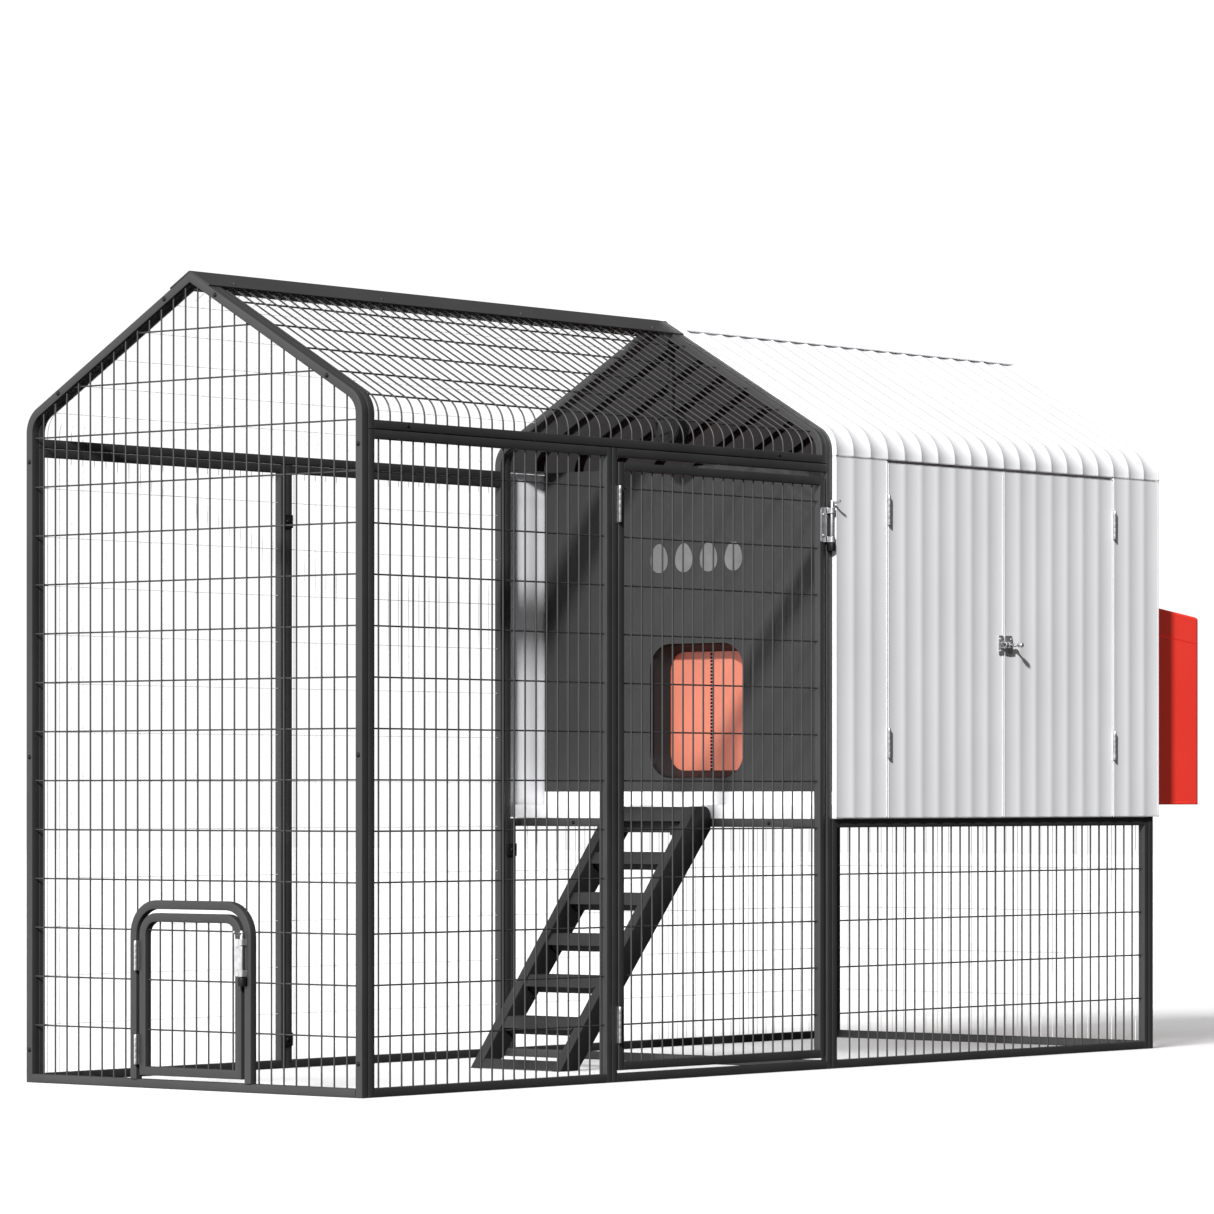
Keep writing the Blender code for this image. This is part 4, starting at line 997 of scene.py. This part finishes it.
def pod():
    """A round lamp pod under the ridge with a ring, a glossy window and a swivel stem."""
    low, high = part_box("camera_pod")
    radius = (high.y - low.y) / 2
    z = low.z + radius
    x = (low.x + high.x) / 2
    depth = high.x - low.x
    profile = [(radius * 0.70, -depth / 2 + 0.003), (radius * 0.76, -depth / 2), (radius * 0.90, -depth / 2),
               (radius * 0.985, -depth / 2 + 0.004), (radius, -depth / 2 + 0.010), (radius, 0.006),
               (radius * 0.97, 0.008), (radius * 0.97, 0.010), (radius, 0.012),
               (radius * 0.985, depth / 2 - 0.006), (radius * 0.88, depth / 2), (radius * 0.30, depth / 2)]
    bm = bmesh.new()
    lathe(bm, profile, (x, 0, z), X_AXIS, 48)
    lathe(bm, [(0.009, radius * 0.6), (0.009, high.z - z - 0.022), (0.013, high.z - z - 0.018),
               (0.013, high.z - z - 0.010)], (x, 0, z), Z_AXIS, 24)
    for i in range(8):
        t = 2 * math.pi * (i + 0.5) / 8
        at = (x - depth / 2, radius * 0.83 * math.cos(t), z + radius * 0.83 * math.sin(t))
        screw(bm, at, (-1, 0, 0), 0.0019)
    piece("lamp_pod", bm, "black_plastic", replaces=["camera_pod"])
    bm = bmesh.new()
    lathe(bm, [(radius * 0.10, 0.0), (radius * 0.45, -0.0010), (radius * 0.66, -0.0030),
               (radius * 0.69, -0.0050)], (x - depth / 2 - 0.0003, 0, z), (-1, 0, 0), 40)
    piece("lamp_window", bm, "black_plastic", look=LENS)


def roost():
    """Two planed perches on rails and legs, screwed together."""
    low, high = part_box("roost")
    top = high.z
    perches, rails, legs, screws = bmesh.new(), bmesh.new(), bmesh.new(), bmesh.new()
    x0, x1 = low.x + 0.020, high.x - 0.020
    for x in (x0, x1):
        add(perches, block((x - 0.020, low.y, top - 0.035), (x + 0.020, high.y, top), 0.006, 4))
    for y in (-0.36, 0.34):
        add(rails, block((x0 - 0.010, y, top - 0.060), (x1 + 0.010, y + 0.020, top - 0.0345), 0.0015))
        for x in (x0, x1):
            add(legs, block((x - 0.012, y - 0.003, low.z), (x + 0.012, y + 0.023, top - 0.0345), 0.0015))
            screw(screws, (x, y + 0.010, top), Z_AXIS, 0.004)
    piece("roost_perches", perches, "timber", replaces=["roost"])
    piece("roost_rails", rails, "timber", look=TIMBER_X)
    piece("roost_legs", legs, "timber", look=TIMBER_Z)
    piece("roost_screws", screws, "zinc")


# ---- Nest box --------------------------------------------------------------------------------------
def nest_box():
    """The red two-bay box and its sloping lid."""
    low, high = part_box("nest_box_shell")
    lid_low, lid_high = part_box("nest_box_lid")
    x0, x1, half = low.x, high.x, high.y
    wall, radius, skirt = 0.010, 0.030, 0.072
    slope = math.tan(math.radians(6.5))
    top = lid_high.z
    steps = 14

    def rim(x, drop):
        return top - drop - (x - x0) * slope

    def bay(side):
        near, far = 0.005, half - wall
        corner = radius - wall
        turned = arc((x1 - wall - corner, far - corner), corner, 90, 0, steps)
        outline = [(x0, far), *turned, (x1 - wall, near), (x0, near)]
        return outline if side > 0 else [(x, -y) for x, y in reversed(outline)]

    outer = [(x0, -half), *arc((x1 - radius, -half + radius), radius, 270, 360, steps),
             *arc((x1 - radius, half - radius), radius, 0, 90, steps), (x0, half)]
    plan = [*outer, *bay(1), *bay(-1)]
    bm = bmesh.new()
    drop = skirt + 0.0014
    loft(bm, [[Vector((x, y, low.z + wall - 0.0005)) for x, y in plan],
              [Vector((x, y, rim(x, drop))) for x, y in plan]])
    add(bm, prism(outer, "Z", low.z, low.z + wall, 0.0016, 2))
    add(bm, block((x0, -half + wall, low.z + wall), (x0 + 0.008, half - wall, low.z + 0.080), 0.0016))
    piece("nest_shell_moulding", bm, "red_plastic", replaces=["nest_box_shell"])

    start = lid_low.x
    plan = [(start, -half), *outer[1:-1], (start, half)]
    rings = []
    edge = 0.006
    turns = 4
    middle = Vector(((start + x1) / 2, 0))
    for i in range(turns + 1):
        t = math.pi / 2 * i / turns
        inset = edge * (1 - math.cos(t))
        sink = edge * (1 - math.sin(t))
        ring = []
        for x, y in plan:
            away = Vector((x, y)) - middle
            x_in = x - math.copysign(inset, away.x) * min(1, abs(away.x) / 0.10)
            y_in = y - math.copysign(inset, away.y) * min(1, abs(away.y) / 0.36)
            ring.append(Vector((x_in, y_in, rim(x_in, sink))))
        rings.append(ring)
    under = [Vector((x, y, rim(x, wall))) for x, y in plan]
    bm = bmesh.new()
    loft(bm, [under, *rings])
    inside = [(start + wall, -half + wall),
              *arc((x1 - radius, -half + radius), radius - wall, 270, 360, steps),
              *arc((x1 - radius, half - radius), radius - wall, 0, 90, steps), (start + wall, half - wall)]
    loft(bm, [[Vector((x, y, rim(x, level))) for x, y in ring] for ring, level in
              ((plan, skirt), (plan, wall + 0.0002), (inside, wall + 0.0002), (inside, skirt))], closed=True)
    piece("nest_lid_moulding", bm, "red_plastic", "nest_lid", ["nest_box_lid"])


# ---- Ladder ----------------------------------------------------------------------------------------
def ladder():
    """The moulded ladder: two side rails, five treads, a foot bar and a top bar."""
    low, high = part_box("ramp_ladder")
    lean = math.tan(math.radians(50))
    rail_t, level, corner = 0.028, 0.076, 0.024
    foot, top, end = low.x, high.z, high.x
    base = low.z
    back_foot = foot + level
    shoulder = foot + (top - corner) / lean
    rail = [(foot, base), (back_foot - 0.008, base), (back_foot, base + 0.008),
            (end, (end - back_foot) * lean * 0.965),
            *arc((end - corner, top - corner), corner, 0, 90, 8),
            (shoulder + 0.010, top), (shoulder, top - 0.010)]
    y0, y1 = low.y, high.y
    soft = 0.0022
    bm = bmesh.new()
    for y in (y0, y1 - rail_t):
        add(bm, prism(rail, "Y", y, y + rail_t, soft, 3))
    inner = (y0 + rail_t - 0.004, y1 - rail_t + 0.004)
    first, step, count = 0.124, 0.0995, 5
    face, sink, set_back, deep, cut = 0.028, 0.043, 0.022, 0.058, 0.012
    for i in range(count):
        z = first + step * i
        x = foot + z / lean + 0.002
        lip = x - face / lean
        whole = [(x, z), (lip, z - face), (lip + set_back, z - face - 0.001),
                 (lip + set_back + 0.004, z - sink), (x + 0.030, z - sink), (x + deep, z - 0.024),
                 (x + deep, z)]
        trimmed = [(x, z), (x - 0.014 / lean, z - 0.014), (lip + set_back, z - 0.016),
                   (lip + set_back + 0.004, z - sink + cut), (x + 0.030, z - sink + cut),
                   (x + deep, z - 0.022), (x + deep, z)]
        stations = [(inner[0], trimmed), (inner[0] + cut, whole), (inner[1] - cut, whole),
                    (inner[1], trimmed)]
        loft(bm, [[Vector((u, y, v)) for u, v in ring] for y, ring in stations])
        for k in range(3):
            groove = x + 0.012 + 0.014 * k
            add(bm, block((groove, inner[0] + 0.014, z - 0.001),
                          (groove + 0.005, inner[1] - 0.014, z + 0.0012), 0.0005))
    bar_end = [(foot + 0.002, base + 0.001), (foot + 0.070, base + 0.001), (foot + 0.070, 0.012),
               (foot + 0.002 + 0.024 / lean, 0.024)]
    add(bm, prism(bar_end, "Y", *inner, 0.0014, 2))
    head = [(shoulder - 0.014, top - 0.037), (end - 0.004, top - 0.037), (end - 0.004, top - 0.010),
            (end - 0.014, top - 0.001), (shoulder + 0.012, top - 0.001), (shoulder + 0.002, top - 0.011)]
    add(bm, prism(head, "Y", *inner, 0.0018, 3))
    web = shoulder + 0.014
    add(bm, block((web, inner[0], top - 0.065), (end - 0.008, inner[1], top - 0.030), 0.0014))
    add(bm, block((web - 0.006, y0 + rail_t + 0.030, top - 0.071),
                  (web + 0.010, y0 + rail_t + 0.058, top - 0.040), 0.0014))
    piece("ladder_moulding", bm, "ladder_plastic", "ramp", ["ramp_ladder"])


# ---- Latches ---------------------------------------------------------------------------------------
def strap(rod, outer, inner, back):
    """The outline of a strap bent over a rod, its feet on the plate behind."""
    x, y = rod
    return [(x - outer, back), *arc(rod, outer, 180, 360, 14), (x + outer, back), (x + inner, back),
            *arc(rod, inner, 360, 180, 14), (x - inner, back)]


def upright_latch(prefix, body, bolt_body, turn):
    """A plate with two straps, a sliding rod with a bent handle, and the socket below it."""
    low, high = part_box(prefix + "_latch_plate")
    gap = 0.0003
    height = high.z - low.z
    z = (low.z + high.z) / 2
    origin = (low.x, high.y + gap, z) if turn == 0 else (high.x + gap, high.y, z)
    turned = Matrix.Translation(origin) @ Matrix.Rotation(turn, 4, "Z")
    plate_t, rod_r = 0.002, 0.004
    reach = (high.x - low.x if turn == 0 else high.y - low.y) - 0.0078
    rod = (reach, -gap - plate_t - 0.0075)
    back = -gap - plate_t
    travel = 0.009
    local = bmesh.new()
    plate = rounded(0, -height / 2, rod[0] - 0.0095, height / 2, (0.004,) * 4, 5)
    add(local, prism(plate, "Y", back, -gap, 0.0004, 1))
    for side in (-1, 1):
        middle = side * (height / 2 - 0.007)
        add(local, block((rod[0] - 0.014, back, middle - 0.007),
                         (rod[0] + 0.0078, -gap, middle + 0.007), 0.0004))
        add(local, prism(strap(rod, 0.0078, 0.0052, back + 0.0004), "Z", middle - 0.007, middle + 0.007,
                         0.0005, 1))
    for side in (-1, 1):
        screw(local, (0.010, back, side * height * 0.30), (0, -1, 0), 0.0034)
    bm = bmesh.new()
    add(bm, local, turned)
    piece(prefix + "_latch_body", bm, "zinc", body, [prefix + "_latch_plate"])

    local = bmesh.new()
    foot = -height / 2 - 0.001
    grip = height / 2 + travel + 0.002
    tip = grip + 0.008
    lathe(local, [(rod_r * 0.4, foot), (rod_r * 0.85, foot + 0.0008), (rod_r, foot + 0.0022),
                  (rod_r, tip - 0.0022), (rod_r * 0.85, tip - 0.0008), (rod_r * 0.4, tip)],
          (rod[0], rod[1], 0), Z_AXIS, 20)
    bend = [(rod[0], rod[1] - out, grip + 0.001 + rise) for out, rise in
            ((0.0, 0.0), (0.010, 0.0), (0.0165, 0.0006), (0.022, 0.0022), (0.0258, 0.0045))]
    sweep(local, bend, arc((0, 0), 0.0030, 0, 330, 11), X_AXIS)
    bm = bmesh.new()
    add(bm, local, turned)
    piece(prefix + "_latch_rod", bm, "zinc", bolt_body, [prefix + "_latch_bolt"])

    low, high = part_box(prefix + "_latch_socket")
    tall = high.z - low.z
    mid = z - (low.z + high.z) / 2
    local = prism(strap(rod, 0.0085, 0.0052, -gap), "Z", -mid - tall / 2, -mid + tall / 2, 0.0006, 2)
    add(local, prism(rectangle(rod[0] - 0.0085, rod[1] + 0.0052, rod[0] + 0.0085, -gap), "Z", -mid - tall / 2,
                     -mid + tall / 2, 0.0006, 2))
    bm = bmesh.new()
    add(bm, local, turned)
    piece(prefix + "_latch_cup", bm, "black_plastic", "coop", [prefix + "_latch_socket"])


def house_latch():
    """The level bolt between the house doors, with its knob, and its keeper."""
    base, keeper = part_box("house_latch_base"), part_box("house_latch_keeper")
    z = (base[0].z + base[1].z) / 2
    face = base[1].y
    plate_t = 0.0018
    back = face - plate_t
    middle = base[0].x - 0.0025
    rod = (back - 0.0075, z)
    half = 0.024
    for name, x0, x1, loop, screws, body, node in (
            ("house_latch_plate", base[0].x, base[1].x, (middle + 0.0025, middle + 0.012),
             (middle + 0.029,), "house_door_right", "house_latch_base"),
            ("house_latch_catch", keeper[0].x, keeper[1].x, (middle - 0.012, middle - 0.0025),
             (middle - 0.018,), "house_door_left", "house_latch_keeper")):
        bm = prism(rounded(x0, z - half, x1, z + half, (0.004,) * 4, 5), "Y", back, face, 0.0004, 1)
        turned = [(rod[0] + v, z + u) for u, v in strap((0, 0), 0.008, 0.0052, back - rod[0] + 0.0004)]
        add(bm, prism(turned, "X", *loop, 0.0005, 1))
        for x in screws:
            for dz in (-0.015, 0.015):
                screw(bm, (x, back, z + dz), (0, -1, 0), 0.0034)
        piece(name, bm, "zinc", body, [node])
    bm = bmesh.new()
    radius, tip = 0.004, middle + 0.040
    lathe(bm, [(radius * 0.5, 0), (radius, 0.0016), (radius, 0.0384), (radius * 0.5, 0.040)],
          (middle, rod[0], z), X_AXIS, 20)
    knob_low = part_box("house_latch_bolt")[0].y
    reach = rod[0] - knob_low
    knob = [(0.0034, -0.002), (0.0034, reach * 0.45), (0.0052, reach * 0.55), (0.0065, reach * 0.68),
            (0.0065, reach * 0.88), (0.0052, reach * 0.97), (0.0024, reach)]
    lathe(bm, knob, (middle + 0.030, rod[0], z), (0, -1, 0), 24)
    piece("house_latch_rod", bm, "zinc", "house_latch", ["house_latch_bolt"])


def house_hinges():
    for side in ("left", "right"):
        for end in ("lower", "upper"):
            hinge(f"house_hinge_{side}_{end}", "house_door_" + side, Vector((0, 1, 0)),
                  1 if side == "left" else -1)


# ---- Stage -----------------------------------------------------------------------------------------
SUN_WAY = Vector((0.906, 0.423, -0.560))
FLOOR_SUN_WAY = Vector((0.930, 0.160, -0.600))
KEY_POWER, FLOOR_POWER = 5.65, 6.5
KEY_WIDTH, FLOOR_WIDTH = 3.0, 26               # degrees across
AMBIENT_LOW, AMBIENT_HIGH, SOFTBOX = 0.04, 0.25, 1.7
SOFTBOX_WAY = Vector((-0.77, 0.62, 0.18)).normalized()
BACKDROP = 1.05
FLOOR_SIZE, FLOOR_Z, FLOOR_SHADE, FLOOR_GLOW = 40, -0.0005, 0.60, 0.24
CAMERA_AT, CAMERA_TURN = (-10.472, -8.552, 0.663), (90, 0, -50.12)
CAMERA_LENS, CAMERA_SENSOR, CAMERA_SHIFT = 160.87, 36, 0.1553


def sun(name, way, power, width, receiver, state):
    """A sun that lights only the receiver, or all but the receiver."""
    lamp = bpy.data.lights.new(name, "SUN")
    lamp.energy = power
    lamp.angle = math.radians(width)
    made = placed(name, lamp)
    made.rotation_euler = way.to_track_quat("-Z", "Y").to_euler()
    lit = bpy.data.collections.new(name + "_receivers")
    lit.objects.link(receiver)
    made.light_linking.receiver_collection = lit
    lit.collection_objects[0].light_linking.link_state = state


def pale_floor():
    """A wide pale floor that throws no light back onto the coop."""
    bm = bmesh.new()
    bm.faces.new([bm.verts.new((x, y, FLOOR_Z)) for x, y in
                  rectangle(-FLOOR_SIZE, -FLOOR_SIZE, FLOOR_SIZE, FLOOR_SIZE)])
    mesh = as_mesh("floor", bm)
    pale = bpy.data.materials.new("pale_floor")
    pale.use_nodes = True
    shader = pale.node_tree.nodes["Principled BSDF"]
    for name, value in (("Base Color", (FLOOR_SHADE, FLOOR_SHADE, FLOOR_SHADE, 1)), ("Roughness", 0.9),
                        ("Specular IOR Level", 0.0), ("Emission Color", (1, 1, 1, 1)),
                        ("Emission Strength", FLOOR_GLOW)):
        shader.inputs[name].default_value = value
    mesh.materials.append(pale)
    floor = placed("floor", mesh)
    floor.visible_diffuse = False
    floor.visible_glossy = False
    return floor


def facing(tree, direction, way):
    """How far a direction points along a way, from -1 to 1."""
    node = tree.nodes.new("ShaderNodeVectorMath")
    node.operation = "DOT_PRODUCT"
    node.inputs[1].default_value = way
    tree.links.new(direction, node.inputs[0])
    return node.outputs["Value"]


def surround():
    """White to the camera; as light, a wide softbox at the camera's left over a dim sky."""
    world = bpy.data.worlds.new("studio")
    world.use_nodes = True
    tree = world.node_tree
    tree.nodes.clear()
    direction = tree.nodes.new("ShaderNodeTexCoord").outputs["Generated"]
    softbox = map_range(tree, facing(tree, direction, SOFTBOX_WAY), (0.1, 0.95), (0.0, SOFTBOX))
    sky = map_range(tree, facing(tree, direction, Z_AXIS), (-0.15, 0.60), (AMBIENT_LOW, AMBIENT_HIGH))
    both = tree.nodes.new("ShaderNodeMath")
    light = tree.nodes.new("ShaderNodeBackground")
    seen = tree.nodes.new("ShaderNodeBackground")
    seen.inputs["Color"].default_value = (1, 1, 1, 1)
    seen.inputs["Strength"].default_value = BACKDROP
    ray = tree.nodes.new("ShaderNodeLightPath")
    mix = tree.nodes.new("ShaderNodeMixShader")
    out = tree.nodes.new("ShaderNodeOutputWorld")
    for source, target in ((softbox, both.inputs[0]), (sky, both.inputs[1]),
                           (both.outputs["Value"], light.inputs["Strength"]),
                           (ray.outputs["Is Camera Ray"], mix.inputs["Fac"]),
                           (light.outputs["Background"], mix.inputs[1]),
                           (seen.outputs["Background"], mix.inputs[2]),
                           (mix.outputs["Shader"], out.inputs["Surface"])):
        tree.links.new(source, target)
    bpy.context.scene.world = world


def stage():
    """The floor and surround, one sun for the coop, a softer one for the floor alone, and the camera."""
    floor = pale_floor()
    surround()
    sun("key", SUN_WAY, KEY_POWER, KEY_WIDTH, floor, "EXCLUDE")
    sun("floor_key", FLOOR_SUN_WAY, FLOOR_POWER, FLOOR_WIDTH, floor, "INCLUDE")

    view = bpy.data.cameras.new("view")
    view.lens, view.sensor_width, view.shift_y = CAMERA_LENS, CAMERA_SENSOR, CAMERA_SHIFT
    camera = placed("view", view)
    camera.location = CAMERA_AT
    camera.rotation_euler = [math.radians(turn) for turn in CAMERA_TURN]
    bpy.context.scene.camera = camera
    bpy.context.scene.view_settings.view_transform = "Standard"


run_sides()
run_door()
gable()
gate()
run_roof()
ridge_caps()
gable_bolts()
house_frame()
cladding()
end_wall()
floor_tray()
inner_wall()
pop_door()
drive()
pod()
roost()
nest_box()
ladder()
upright_latch("run_door", "run_door", "run_door_latch", 0)
upright_latch("gate", "gate", "gate_latch", -math.pi / 2)
house_latch()
house_hinges()
stage()
